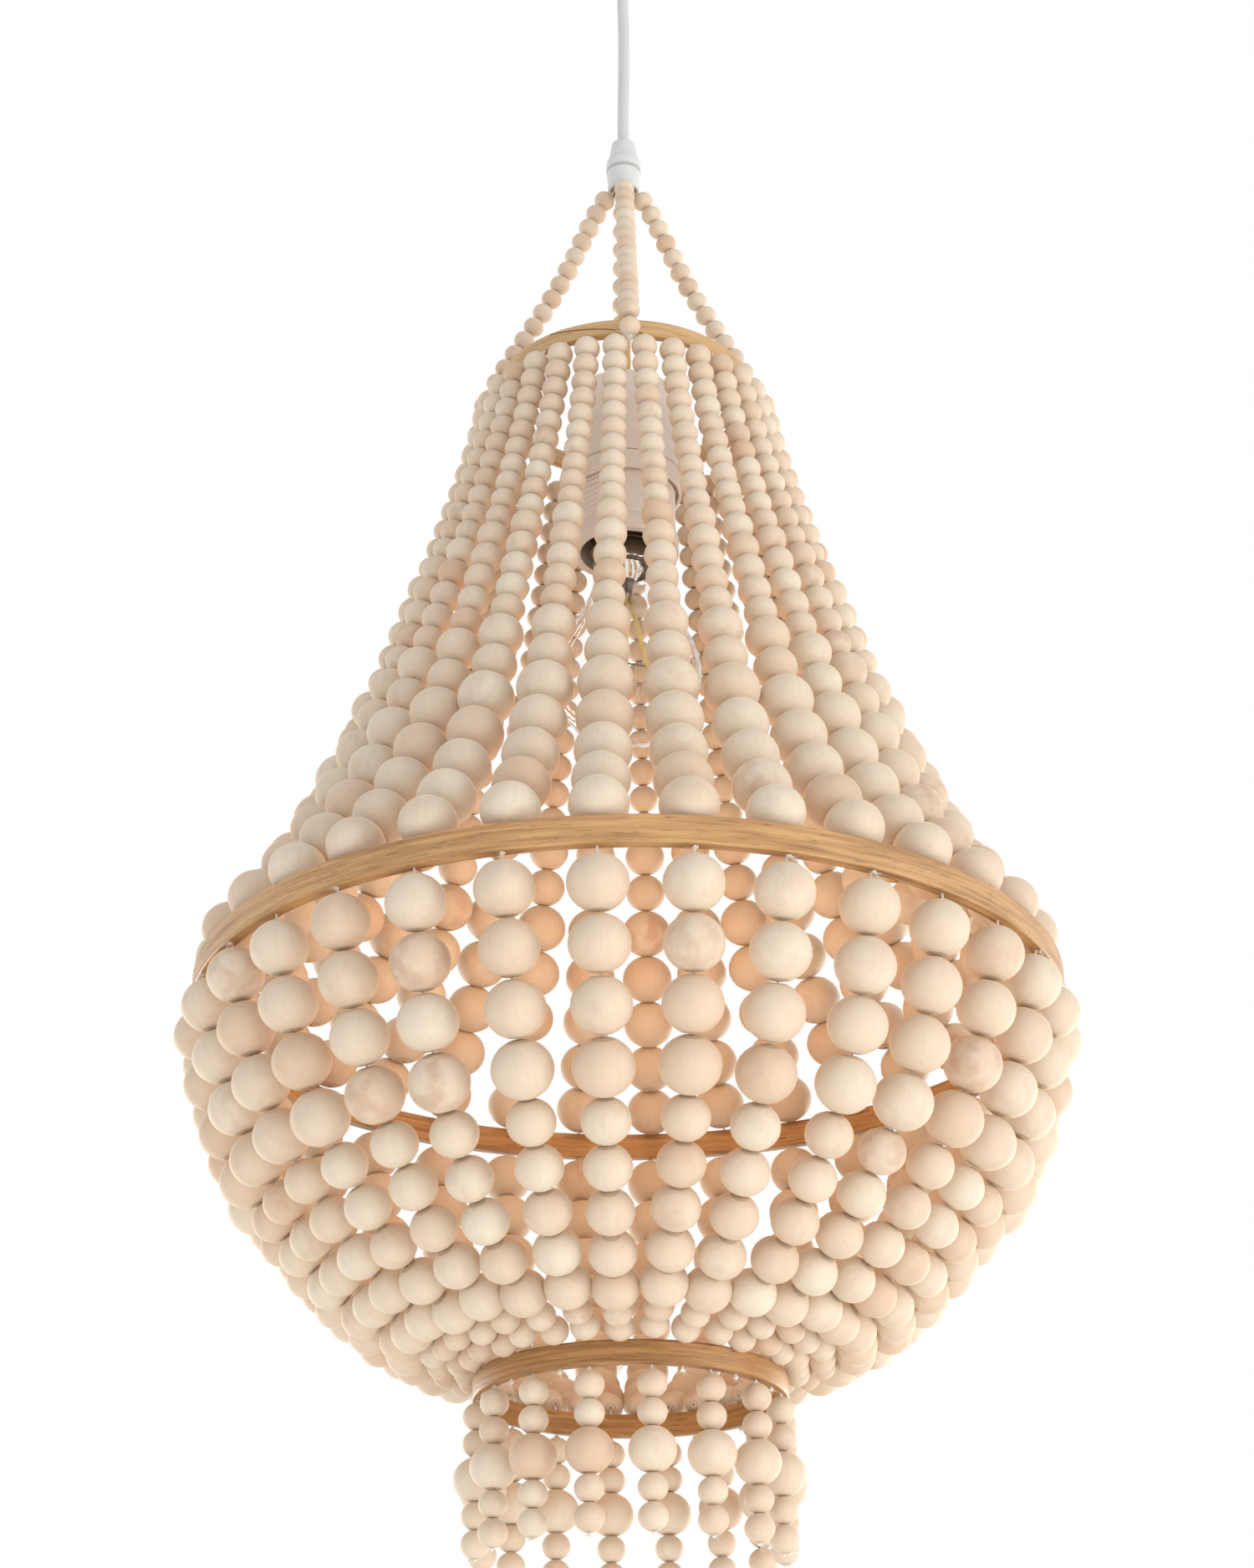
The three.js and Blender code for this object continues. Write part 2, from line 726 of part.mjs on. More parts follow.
// Hangers: beads from the grip's cup to the top hoop, then a tied bead in front of the hoop
function hangerRings(azimuth) {
  const bead = hangerBead / 2;
  const turn = bead * hangerTurnShare;
  const firstHeight = gripBottom - hangerTopDrop;
  const lastHeight = topHoopUpper + seatGap + bead;
  const middleRadius = (hangerTopRadius + topHoopOuter) / 2 - hangerSag;
  const path = new THREE.CatmullRomCurve3([
    polar(hangerTopRadius - turn, azimuth, firstHeight + turn),
    polar(hangerTopRadius, azimuth, firstHeight),
    polar(middleRadius, azimuth, (firstHeight + lastHeight) / 2),
    polar(topHoopOuter, azimuth, lastHeight),
    polar(topHoopOuter + hangerEndOut, azimuth, topHoopUpper + 2 * seatGap),
  ]);
  const tieRadius = topHoopOuter + bead + hangerTieGap;
  const tieLevel = topHoopLevel - hangerTieDrop;
  const tieTop = polar(tieRadius, azimuth, tieLevel + bead);
  const tieBottom = polar(tieRadius, azimuth, tieLevel - bead);
  return [
    threadRing(polar(hangerRootRadius, azimuth, cavityTop - seatGap)),
    threadRing(polar(hangerRootRadius, azimuth, gripBottom - threadRadius)),
    ...beadRun(path, hangerBeads),
    ...beadRun(new THREE.LineCurve3(tieTop, tieBottom), [hangerBead]),
    threadRing(polar(tieRadius, azimuth, tieLevel - bead - threadDiameter)),
  ];
}
for (let i = 0; i < hangerCount; i += 1) {
  const azimuth = hangerPhase + 2 * Math.PI * i / hangerCount;
  addPiece(`hanger_${i + 1}`, stringSolid(hangerRings(azimuth)), paleWood);
}

// Fringe: short strings under the lower hoop, below every second string
function fringeRings(azimuth) {
  const top = lowerHoopUnder - seatGap;
  const beadTop = top - fringeStub;
  const spans = fringeBeads.reduce((sum, diameter) => sum + diameter, 0);
  const beadBottom = beadTop - spans * Math.sqrt(1 - boreFlatShare ** 2);
  const start = polar(lowerHoopRadius, azimuth, beadTop);
  const end = polar(lowerHoopRadius, azimuth, beadBottom);
  return [
    threadRing(polar(lowerHoopRadius, azimuth, top)),
    ...beadRun(new THREE.LineCurve3(start, end), fringeBeads),
    threadRing(polar(lowerHoopRadius, azimuth, beadBottom - threadDiameter)),
  ];
}
for (let i = 0; i < fringeCount; i += 1) {
  const azimuth = stringAzimuth(i * stringCount / fringeCount);
  addPiece(`fringe_${twoDigits(i + 1)}`, stringSolid(fringeRings(azimuth)), paleWood);
}

// Lampholder: tapered cap with the flex through its nipple, and the skirt below it
const capUnder = holderTop - holderTopDrop - holderWall;
const holderCap = turnedRing([
  [gripBore / 2, holderTop],
  [holderNippleRadius, holderTop],
  [holderNippleRadius, holderTop - holderNippleHeight],
  [holderShoulderRadius, holderTop - holderShoulderDrop],
  [holderTopRadius, holderTop - holderTopDrop],
  [holderCapRadius, holderTop - holderCapHeight],
  [holderCapRadius - holderWall, holderTop - holderCapHeight],
  [holderTopRadius - holderWall, capUnder],
  [gripBore / 2, capUnder],
], holderSegments);
addPiece('holder_cap', holderCap, whitePlastic);
const holderSkirt = turnedRing([
  [skirtInnerRadius, skirtTop],
  [collarRadius, skirtTop],
  [collarRadius, skirtTop - collarHeight],
  [skirtRadius, skirtTop - collarHeight],
  [skirtRadius, skirtBottom + rimHeight + rimRise],
  [rimRadius, skirtBottom + rimHeight],
  [rimRadius, skirtBottom],
  [skirtInnerRadius, skirtBottom],
], holderSegments);
addPiece('holder_skirt', holderSkirt, whitePlastic);

// Insert with the contact under it, inside the skirt
const insertUnder = insertTop - insertHeight;
const insertRadius = skirtInnerRadius * Math.cos(Math.PI / holderSegments) - seatGap;
addPiece('holder_insert', post(insertRadius, insertUnder, insertTop, holderSegments), whitePlastic);
const shellTop = insertUnder - seatGap;
const threadedShell = turnedRing([
  [shellInnerRadius, shellTop],
  [shellInnerRadius + shellWall, shellTop],
  [shellInnerRadius + shellWall, shellTop - shellHeight],
  [shellInnerRadius, shellTop - shellHeight],
], holderSegments);
addPiece('threaded_shell', threadedShell, nickel);

const capBottom = skirtBottom - bulbDrop;
const capTip = capBottom + capHeight;
function centreContact() {
  const low = capTip + seatGap;
  const corners = [
    [-contactFoot, shellTop],
    [-contactFoot / 2 + contactThickness, shellTop],
    [contactThickness, low + contactThickness],
    [contactFoot / 2, low + contactThickness],
    [contactFoot / 2, low],
    [0, low],
    [-contactFoot / 2, shellTop - contactThickness],
    [-contactFoot, shellTop - contactThickness],
  ];
  const outline = new THREE.Shape(corners.map(([x, z]) => new THREE.Vector2(x, z)));
  const tongue = new THREE.ExtrudeGeometry(outline, { depth: contactWidth, bevelEnabled: false });
  tongue.rotateX(Math.PI / 2);
  tongue.translate(0, contactWidth / 2, 0);
  return solid(tongue);
}
addPiece('centre_contact', centreContact(), brass);

// Bulb: cap, glass envelope open at its neck, and the filaments on their stem
const bulbCap = turned([
  [0, capTip],
  [capTipRadius, capTip],
  [capTipRadius, capTip - capTipHeight],
  [capInsulatorRadius, capTip - capTipHeight - capInsulatorDrop],
  [capRadius, capBottom + capThreadHeight],
  [capRadius, capBottom],
  [0, capBottom],
], holderSegments);
addPiece('bulb_cap', bulbCap, nickel);
const glassTop = capBottom - seatGap;
function envelopeSide(inset) {
  const radius = bulbRadius - inset;
  const centre = glassTop - bulbHeight + bulbRadius;
  const shoulderRadius = radius * Math.cos(bulbShoulder);
  const neckLength = glassTop - centre - radius * Math.sin(bulbShoulder);
  const side = bulbNeckShares.map(([dropShare, reachShare]) => [
    bulbNeckRadius - inset + reachShare * (shoulderRadius - bulbNeckRadius + inset),
    glassTop - dropShare * neckLength,
  ]);
  for (let row = 0; row < bulbRows; row += 1) {
    const angle = bulbShoulder - (bulbShoulder + Math.PI / 2) * row / bulbRows;
    side.push([radius * Math.cos(angle), centre + radius * Math.sin(angle)]);
  }
  side.push([0, centre - radius]);
  return side;
}
const envelope = turnedRing([...envelopeSide(0), ...envelopeSide(bulbWall).reverse()], bulbSegments);
addPiece('bulb_glass', envelope, clearGlass);

function filamentStem() {
  const stemEnd = glassTop - stemHeight;
  const stem = turned([
    [0, glassTop],
    [stemFootRadius, glassTop],
    [stemRadius, glassTop - stemFootRadius],
    [stemRadius, stemEnd],
    [0, stemEnd],
  ], stemSegments);
  const lean = Math.asin((filamentEndRing - filamentTopRing) / filamentLength);
  const sticks = [];
  for (let i = 0; i < filamentCount; i += 1) {
    const stick = post(filamentRadius, -filamentLength, 0, stemSegments);
    stick.rotateX(-lean);
    stick.translate(0, -filamentTopRing, stemEnd + filamentOverlap);
    stick.rotateZ(2 * Math.PI * i / filamentCount);
    sticks.push(stick);
  }
  return withAdded(stem, sticks);
}
addPiece('filament_stem', filamentStem(), phosphor);

export default chandelier;
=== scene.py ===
import math
import random

import bmesh
import bpy
from mathutils import Matrix, Vector


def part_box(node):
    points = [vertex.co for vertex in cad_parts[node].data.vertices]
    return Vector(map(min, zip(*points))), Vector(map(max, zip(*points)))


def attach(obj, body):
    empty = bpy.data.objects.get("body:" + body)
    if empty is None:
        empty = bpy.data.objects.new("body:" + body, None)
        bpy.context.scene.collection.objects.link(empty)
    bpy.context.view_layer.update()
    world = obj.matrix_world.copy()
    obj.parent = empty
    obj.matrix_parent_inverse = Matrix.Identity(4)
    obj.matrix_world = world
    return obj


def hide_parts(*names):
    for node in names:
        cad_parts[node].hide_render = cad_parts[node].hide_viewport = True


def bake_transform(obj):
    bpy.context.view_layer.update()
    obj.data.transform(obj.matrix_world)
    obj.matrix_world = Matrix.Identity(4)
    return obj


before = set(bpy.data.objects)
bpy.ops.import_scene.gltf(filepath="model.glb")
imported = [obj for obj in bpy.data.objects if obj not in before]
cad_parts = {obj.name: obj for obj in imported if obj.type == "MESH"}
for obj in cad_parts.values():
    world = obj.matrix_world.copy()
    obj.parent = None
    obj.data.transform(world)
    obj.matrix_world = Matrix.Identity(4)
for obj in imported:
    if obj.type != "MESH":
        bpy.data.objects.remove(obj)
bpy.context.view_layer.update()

# Camera: place in metres, upward tilt and roll in degrees, lens and picture in millimetres
CAMERA_PLACE = Vector((0.0, -0.982, -0.971))
CAMERA_TILT = 26.0
CAMERA_ROLL = -0.33
CAMERA_LENS = 64.17
PICTURE_LONG_SIDE = 36.0

# Beads and thread, in metres
HANGER_BEAD = 0.0084
SMALL_BEAD = 0.010
MEDIUM_BEAD = 0.012
LARGE_BEAD = 0.016
GIANT_BEAD = 0.020
THREAD_RADIUS = 0.0006
CONE_BEADS = [SMALL_BEAD] * 10 + [MEDIUM_BEAD] * 5 + [LARGE_BEAD] * 2 + [GIANT_BEAD] * 5
BOWL_BEADS = [GIANT_BEAD] * 4 + [LARGE_BEAD] * 5 + [SMALL_BEAD] * 2
FRINGE_BEADS = [SMALL_BEAD, SMALL_BEAD, LARGE_BEAD, SMALL_BEAD, SMALL_BEAD]
HANGER_BEADS = [HANGER_BEAD] * 14
STRING_COUNT = 32
FRINGE_COUNT = 16
HANGER_COUNT = 4
FIRST_AZIMUTH = math.radians(2.1)
STRING_PITCH = 2 * math.pi / STRING_COUNT

# Flat round the bore, as a share of the bead's radius, in the CAD and here
CAD_FLAT_SHARE = 0.3
FLAT_SHARE = 0.29

# Faces of a bead before its one subdivision, which draws its width in to 0.929. The share that
# makes up for this is a little less, because it was set by the width of the beads in the photo
BEAD_ROWS = 6
BEAD_STEPS = 12
SUBDIVISION_SHRINK_SHARE = 0.905

# How single beads differ: tone from cream to brown, patches, growth, and tilt in degrees
TONE_MIDDLE = 0.3
TONE_SPREAD = 0.16
BROWN_BEAD_SHARE = 0.03
BROWN_TONES = (0.6, 1.0)
PATCHY_BEAD_SHARE = 0.07
PATCHY_DEPTHS = (0.3, 0.55)
PLAIN_DEPTHS = (0.0, 0.22)
BEAD_GROWTH = (0.995, 1.02)
BEAD_TILT = 3

# How single strings differ: spread of their slack, offset of neighbours and sideways sway
SLACK_SPREAD = 0.0006
NEIGHBOUR_STAGGER = 0.001
CONE_SWAY = 0.0012
BOWL_SWAY = 0.002

# Hoops: thickness of each strip, how far it waves up and down, and rounding of its edges
TOP_THICKNESS = 0.0035
MIDDLE_THICKNESS = 0.005
LOWER_THICKNESS = 0.0038
TOP_WAVE = 0.0001
MIDDLE_WAVE = 0.00025
LOWER_WAVE = 0.0001
HOOP_EDGE = 0.0008

# Where strings leave the hoops
SEAT = 0.0003
CONE_START_OUT = 0.00375
CONE_START_DROP = 0.0040
CONE_END_INSET = 0.0026
CONE_END_RISE = 0.00275
BOWL_START_DROP = 0.002
BOWL_END_RISE = 0.0028
FRINGE_STUB = 0.0011

# Points of a thread: steps over the top hoop, and points of a route from one to the next
OVER_STEPS = 4
THREAD_STRIDE = 8

# How far the cone's beads have settled, and how upright its last beads stand, from 0 to 1
CONE_SETTLING = 0.0016
UPRIGHT_BEADS = 2
LAST_CONE_UPRIGHT = 0.85

# Knots and frayed ends, under the middle hoop, under the lower hoop, at the fringe's ends and
# under the tied beads: radius, place, length of the fray and its hairs. The middle knots are a
# little aside of the string, by an angle in radians, and only a share of the strings has one
KNOT_SIDES = 6
HAIR_RADIUS = 0.00016
MIDDLE_KNOT = 0.0008
MIDDLE_KNOT_OUT = 0.001
MIDDLE_KNOT_TURN = 0.004
MIDDLE_KNOT_DROP = 0.0004
MIDDLE_KNOT_SHARE = 0.6
MIDDLE_FRAY = 0.0045
MIDDLE_HAIRS = 9
LOWER_KNOT = 0.0009
LOWER_KNOT_DROP = 0.0006
LOWER_FRAY = 0.0045
LOWER_HAIRS = 5
FRINGE_KNOT = 0.0007
FRINGE_TAIL = 0.0004
FRINGE_KNOT_DROP = 0.0002
FRINGE_FRAY = (0.003, 0.007)
FRINGE_HAIRS = 11
TIE_KNOT = 0.0014
TIE_KNOT_DROP = 0.0008
TIE_FRAY = 0.0085
TIE_HAIRS = 44

# Hangers: where their beads start, how they sag, and where they end and are tied
HANGER_TOP_RADIUS = 0.0084
HANGER_TOP_DROP = 0.0049
HANGER_SAG = 0.0023
HANGER_END_OUT = 0.0011
HANGER_TIE_GAP = 0.0008
HANGER_TIE_DROP = 0.0033
HANGER_TURN_SHARE = 0.68
HANGER_ROOT = 0.004
HANGER_ROOT_RISE = 0.0072

# Cord grip: flared nut with a ring of teeth, and the cup below it
GRIP_BORE_RADIUS = 0.0029
NUT_TEETH = 40
NUT_TOOTH_HEIGHT = 0.0009
NUT_TOOTH_DEPTH = 0.0005
NUT_TOOTH_INSET = 0.00006
NUT_FLARE_DROP = 0.0118
GRIP_CUP_TOP = 0.0073
GRIP_CUP_END = 0.0067
GRIP_CAVITY = 0.0054
GRIP_CAVITY_DEPTH = 0.0075

# Outline of the nut's wall: radius, and drop below its top
NUT_OUTLINE = [
    (0.0037, 0), (0.0044, 0.00025), (0.00495, 0.0007), (0.0053, 0.0015), (0.0058, 0.0055),
    (0.0063, 0.0088), (0.0068, 0.0099), (0.0073, 0.0107),
]

# Rounding of edges: pressed metal, turned pieces, moulded plastic and the ceiling cup
METAL_EDGE = 0.0002
TURNED_EDGE = 0.0003
MOULDED_EDGE = 0.0004
CUP_EDGE = 0.0006

# Turned shapes: points closer than this are one point, steps round each shape, and the angle in
# degrees from which an edge is sharp, on plain walls and on threads
MERGE_DISTANCE = 0.000002
SKIRT_STEPS = 144
ROUND_STEPS = 96
THREAD_STEPS = 64
GLOBE_STEPS = 72
RELIEF_STEPS = 48
INSULATOR_STEPS = 48
STEM_STEPS = 32
SMALL_STEPS = 24
SHARP_ANGLE = 30.0
THREAD_SHARP_ANGLE = 40.0

# Lampholder
HOLDER_WALL = 0.002
COLLAR_RADIUS = 0.0232
COLLAR_HEIGHT = 0.0085
UNDERCUT_RADIUS = 0.0219
UNDERCUT_DEPTH = 0.0035
SKIRT_RADIUS = 0.0205
SKIRT_INNER_RADIUS = 0.0184
RIM_RADIUS = 0.0218
RIM_HEIGHT = 0.0065
RIM_RISE = 0.0015
RIM_CHAMFER = 0.0003
CORE_CLEARANCE = 0.0007
CORE_STEP = 0.003
CORE_STEP_DROP = 0.0012
HOLDER_THREAD_PITCH = 0.0025
HOLDER_THREAD_DEPTH = 0.00045
PLAIN_STRIP_HALF_ANGLE = math.radians(14)
PLAIN_STRIP_FADE = math.radians(5)
ROWS_PER_TURN = 8

# Outline of the lampholder's dome: radius, and drop below its top, outside and inside
DOME_OUTSIDE = [
    (0.0059, 0), (0.0065, 0.0006), (0.0065, 0.0052), (0.0074, 0.0062), (0.0130, 0.0074),
    (0.0178, 0.0085), (0.0200, 0.0092), (0.0213, 0.0102), (0.0220, 0.0118), (0.0226, 0.0240),
]
DOME_INSIDE = [(0.0202, 0.0140), (0.0190, 0.0125), (GRIP_BORE_RADIUS, 0.0125)]

# A thread runs out over this height. Vertices this close to a level or radius count as on it
THREAD_FADE = 0.001
LEVEL_SLACK = 0.00001
RADIUS_SLACK = 0.0001

# Lamp thread of the shell and of the bulb's cap
LAMP_THREAD_PITCH = 0.0036
SHELL_INNER_RADIUS = 0.0136
SHELL_WALL = 0.0006
SHELL_THREAD_DEPTH = 0.0004
CAP_RADIUS = 0.0131
CAP_THREAD_DEPTH = 0.0006
CAP_CHAMFER = 0.0004
CAP_PLAIN_HEIGHT = 0.0088
CAP_THREAD_HEIGHT = 0.020

# Top of the bulb's cap: radius, and rise above the thread or drop below the solder tip
CAP_SHOULDER = [(0.0121, 0.0006), (0.0095, 0.0019), (0, 0.0019)]
INSULATOR_FOOT = [(0, 0.0020), (0.0093, 0.0020), (0.0085, 0.0030)]
INSULATOR_HEAD = [(0.0056, 0.0016), (0, 0.0016)]
SOLDER_TIP = [(0, 0.0015), (0.0046, 0.0015), (0.0043, 0.0006), (0.0028, 0), (0, 0)]

# Bulb: envelope, stem and filaments
BULB_RADIUS = 0.030
BULB_NECK = 0.0126
BULB_WALL = 0.0004
BULB_SHOULDER = math.radians(32)
BULB_NECK_SHARES = [(0, 0), (0.3, 0.08), (0.68, 0.47)]
BULB_NECK_STEPS = 5
BULB_ROWS = 18
STEM_RADIUS = 0.003
STEM_FOOT = 0.008
STEM_HEIGHT = 0.0155
STEM_SHOULDER = [(STEM_FOOT - 0.0012, 0.0015), (0.0045, 0.0052), (STEM_RADIUS, STEM_FOOT)]
STEM_TIP_RISE = 0.002
FILAMENT_COUNT = 4
FILAMENT_LENGTH = 0.032
FILAMENT_RADIUS = 0.0009
FILAMENT_TOP_RING = 0.0018
FILAMENT_END_RING = 0.0085
FILAMENT_OVERLAP = 0.0015
WIRE_RADIUS = 0.0003
WIRE_RING = 0.0006
WIRE_TOP_RISE = 0.006
WIRE_END_RISE = 0.0015

# Ceiling cup and strain relief
CUP_RADIUS = 0.050
CUP_WALL = 0.002
CUP_STRAIGHT = 0.016
CUP_NECK_RADIUS = 0.0095
BALL_RADIUS = 0.006
BALL_CLEARANCE = 0.0004
BALL_SEAT_DEPTH = 0.0035
SEAT_ROWS = 6
BALL_ROWS = 12
RELIEF_TOP_RADIUS = 0.0039
RELIEF_END_RADIUS = 0.0033
RELIEF_CHAMFER = 0.0004
RELIEF_RIBS = 7
RELIEF_RIBBED_SHARE = 0.94
RIB_GROOVE_SHARES = (0.55, 0.9)
RIB_GROOVE_DEPTH = 0.0007
SCREW_DROP = 0.008
SCREW_HEAD_RADIUS = 0.0032
SCREW_HEAD_HEIGHT = 0.0022
SCREW_SHANK_RADIUS = 0.0015
SCREW_REACH = 0.011

# Pan head of a screw: shares of its radius and of its height
SCREW_HEAD_SHARES = [(1, 0), (1, 0.45), (0.85, 0.75), (0.5, 0.95), (0, 1)]

# Scarf joints of the hoops: angle from the front where each line of glue and painted shadow
# starts and ends
HOOP_STEPS = 128
SCARF_STEPS = 24
TOP_SCARF = (math.radians(-34), math.radians(8))
MIDDLE_SCARF = (math.radians(150), math.radians(176))
LOWER_SCARF = (math.radians(120), math.radians(156))
GLUE_AND_SHADOW_RADIUS = 0.00022
SCARF_EDGE_SHARE = 0.12

# Shape of the strings: shares of the drop and of the reach
CONE_SHARES = [
    (0, 0), (0.127, 0.073), (0.262, 0.172), (0.418, 0.297), (0.572, 0.427),
    (0.706, 0.54), (0.815, 0.662), (0.899, 0.789), (0.96, 0.906), (1, 1),
]
BOWL_SHARES = [
    (0, 0), (0.07, 0.019), (0.21, 0.062), (0.35, 0.121), (0.49, 0.2), (0.602, 0.297),
    (0.704, 0.399), (0.797, 0.507), (0.878, 0.632), (0.938, 0.767), (0.975, 0.88), (1, 1),
]

# Free stretch of the flex: sideways wander of each point, from the top down
CORD_DIAMETER = 0.0052
CORD_LENGTH = 0.0993
CORD_WANDER = [
    0, 0, 0.00005, 0.00015, 0.0003, 0.00045, 0.0005, 0.0005,
    0.00045, 0.00035, 0.00025, 0.00015, 0.00005, 0, 0,
]

# Lighting: even fill of the world, softboxes round the lamp, and the warm light that the pale
# wood throws to and fro inside the shade. Softboxes: name, place, size, watts and colour
WORLD_FILL = 0.84
LAMP_MIDDLE = Vector((0, 0, -0.58))
SOFTBOXES = [
    ("key_softbox", Vector((1.9, -0.9, -0.7)), 1.3, 19, "#FFFBF6"),
    ("low_softbox", Vector((0.1, -1.0, -1.8)), 1.3, 10, "#FFFBF6"),
    ("rim_softbox_right", Vector((1.1, 1.3, -0.7)), 1.0, 17, "#FFF6EA"),
    ("rim_softbox_left", Vector((-1.1, 1.3, -0.7)), 1.0, 14, "#FFF6EA"),
]
GLOW_PLACE = Vector((0, 0, -0.56))
GLOW_WATTS = 0.30
GLOW_RADIUS = 0.05
FLOOR_LEVEL = -3.2
FLOOR_SIZE = 14.0

# Every random draw comes from here, in a fixed order
picker = random.Random(4147)


def level(node):
    """Lowest and highest level of a CAD node."""
    low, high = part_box(node)
    return low.z, high.z


def reach(node):
    """How far a round CAD node reaches from the lamp's axis."""
    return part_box(node)[1].x


def polar(radius, azimuth, height):
    """A point from its distance to the axis, its angle from the front and its height."""
    return Vector((radius * math.sin(azimuth), -radius * math.cos(azimuth), height))


def hung(outline, top):
    """An outline of radius and drop as a profile that hangs from a level."""
    return [(radius, top - drop) for radius, drop in outline]


def string_azimuth(index):
    """The angle of a string from the front."""
    return FIRST_AZIMUTH + (index + 0.5) * STRING_PITCH


# Camera
camera_data = bpy.data.cameras.new("camera")
camera_data.sensor_fit = "VERTICAL"
camera_data.sensor_height = PICTURE_LONG_SIDE
camera_data.lens = CAMERA_LENS
camera = bpy.data.objects.new("camera", camera_data)
bpy.context.scene.collection.objects.link(camera)
turn = Matrix.Rotation(math.radians(90 + CAMERA_TILT), 4, "X")
roll = Matrix.Rotation(math.radians(CAMERA_ROLL), 4, "Z")
camera.matrix_world = Matrix.Translation(CAMERA_PLACE) @ turn @ roll
bpy.context.scene.camera = camera


def linear(code):
    """An sRGB hex colour as linear red, green, blue and alpha."""
    channels = [int(code[i:i + 2], 16) / 255 for i in (1, 3, 5)]
    return [c / 12.92 if c <= 0.04045 else ((c + 0.055) / 1.055) ** 2.4 for c in channels] + [1]


def add_node(tree, kind, settings=None, inputs=None):
    """Adds a node with its settings, and a value or a link on each named or numbered input."""
    made = tree.nodes.new(kind)
    for name, value in (settings or {}).items():
        setattr(made, name, value)
    for name, value in (inputs or {}).items():
        if isinstance(value, bpy.types.NodeSocket):
            tree.links.new(value, made.inputs[name])
        else:
            made.inputs[name].default_value = value
    return made


def new_material(name):
    """A material without nodes yet, and its node tree."""
    material = bpy.data.materials.new(name)
    material.use_nodes = True
    material.node_tree.nodes.clear()
    return material, material.node_tree


def finish_material(tree, shader):
    """Sends the shader to the material's output."""
    add_node(tree, "ShaderNodeOutputMaterial", inputs={"Surface": shader.outputs[0]})


def scale_for(millimetres):
    """The nearest whole scale of a noise pattern whose features are this many millimetres
    apart."""
    return round(1000 / millimetres)


def raw_turned_wood():
    """Raw pale hardwood turned into beads and tumbled: cream to pinkish, with faint grain along the
    bore and a few browner beads and patches. Painted shade darkens a disc round the bore and a ring
    at the end rim, where the beads meet. The grain is drawn coarser than real pores, so that it
    shows."""
    material, tree = new_material("raw_turned_wood")
    tone = add_node(tree, "ShaderNodeAttribute", {"attribute_name": "bead_tone"}).outputs["Fac"]
    patch = add_node(tree, "ShaderNodeAttribute", {"attribute_name": "bead_patch"}).outputs["Fac"]
    from_bore = add_node(tree, "ShaderNodeAttribute", {"attribute_name": "bead_bore"}).outputs["Fac"]
    place = add_node(tree, "ShaderNodeAttribute", {"attribute_name": "bead_grain"}).outputs["Vector"]
    stretched = add_node(tree, "ShaderNodeMapping", inputs={
        "Vector": place,
        "Scale": (scale_for(1.613), scale_for(1.613), scale_for(16.67))})
    grain = add_node(tree, "ShaderNodeTexNoise", inputs={
        "Vector": stretched.outputs[0], "Scale": 1.0, "Detail": 3.0, "Roughness": 0.6})
    cloud = add_node(tree, "ShaderNodeTexNoise", inputs={
        "Vector": place, "Scale": scale_for(8.333), "Detail": 2.0})
    cream = add_node(tree, "ShaderNodeMix", {"data_type": "RGBA"}, {
        0: tone, 6: linear("#DDD0BD"), 7: linear("#D2B49A")})
    grain_depth = add_node(tree, "ShaderNodeMapRange", inputs={
        "Value": grain.outputs["Fac"], "From Min": 0.48, "From Max": 0.75, "To Max": 0.2})
    with_grain = add_node(tree, "ShaderNodeMix", {"data_type": "RGBA"}, {
        0: grain_depth.outputs[0], 6: cream.outputs[2], 7: linear("#C8A57F")})
    cloud_depth = add_node(tree, "ShaderNodeMapRange", inputs={
        "Value": cloud.outputs["Fac"], "From Min": 0.46, "From Max": 0.66})
    patch_depth = add_node(tree, "ShaderNodeMath", {"operation": "MULTIPLY"}, {
        0: cloud_depth.outputs[0], 1: patch})
    patched = add_node(tree, "ShaderNodeMix", {"data_type": "RGBA"}, {
        0: patch_depth.outputs[0], 6: with_grain.outputs[2], 7: linear("#B8937A")})
    # Painted shade where the beads meet: a dark ring round the edge of the flat
    rim = add_node(tree, "ShaderNodeMapRange", {"interpolation_type": "SMOOTHSTEP"}, {
        "Value": from_bore, "From Min": 0.33, "From Max": 0.40, "To Min": 0.35, "To Max": 0.0})
    inside = add_node(tree, "ShaderNodeMapRange", {"interpolation_type": "SMOOTHSTEP"}, {
        "Value": from_bore, "From Min": 0.26, "From Max": 0.33, "To Min": 0.5, "To Max": 1.0})
    rim_shade_depth = add_node(tree, "ShaderNodeMath", {"operation": "MULTIPLY"}, {
        0: rim.outputs[0], 1: inside.outputs[0]})
    rim_shaded = add_node(tree, "ShaderNodeMix", {"data_type": "RGBA"}, {
        0: rim_shade_depth.outputs[0], 6: patched.outputs[2], 7: linear("#7A573A")})
    # Painted shade of the bore hole: a dark disc round the bore
    bore = add_node(tree, "ShaderNodeMath", {"operation": "LESS_THAN"}, {0: from_bore, 1: 0.06})
    coloured = add_node(tree, "ShaderNodeMix", {"data_type": "RGBA"}, {
        0: bore.outputs[0], 6: rim_shaded.outputs[2], 7: linear("#5A4230")})
    bump = add_node(tree, "ShaderNodeBump", inputs={
        "Strength": 0.12, "Distance": 0.0003, "Height": grain.outputs["Fac"]})
    shader = add_node(tree, "ShaderNodeBsdfPrincipled", inputs={
        "Base Color": coloured.outputs[2], "Roughness": 0.6, "IOR": 1.45,
        "Specular IOR Level": 0.3, "Sheen Weight": 1.0, "Sheen Roughness": 0.25,
        "Normal": bump.outputs[0]})
    shader.inputs["Sheen Tint"].default_value = linear("#FFE2B8")
    finish_material(tree, shader)
    return material


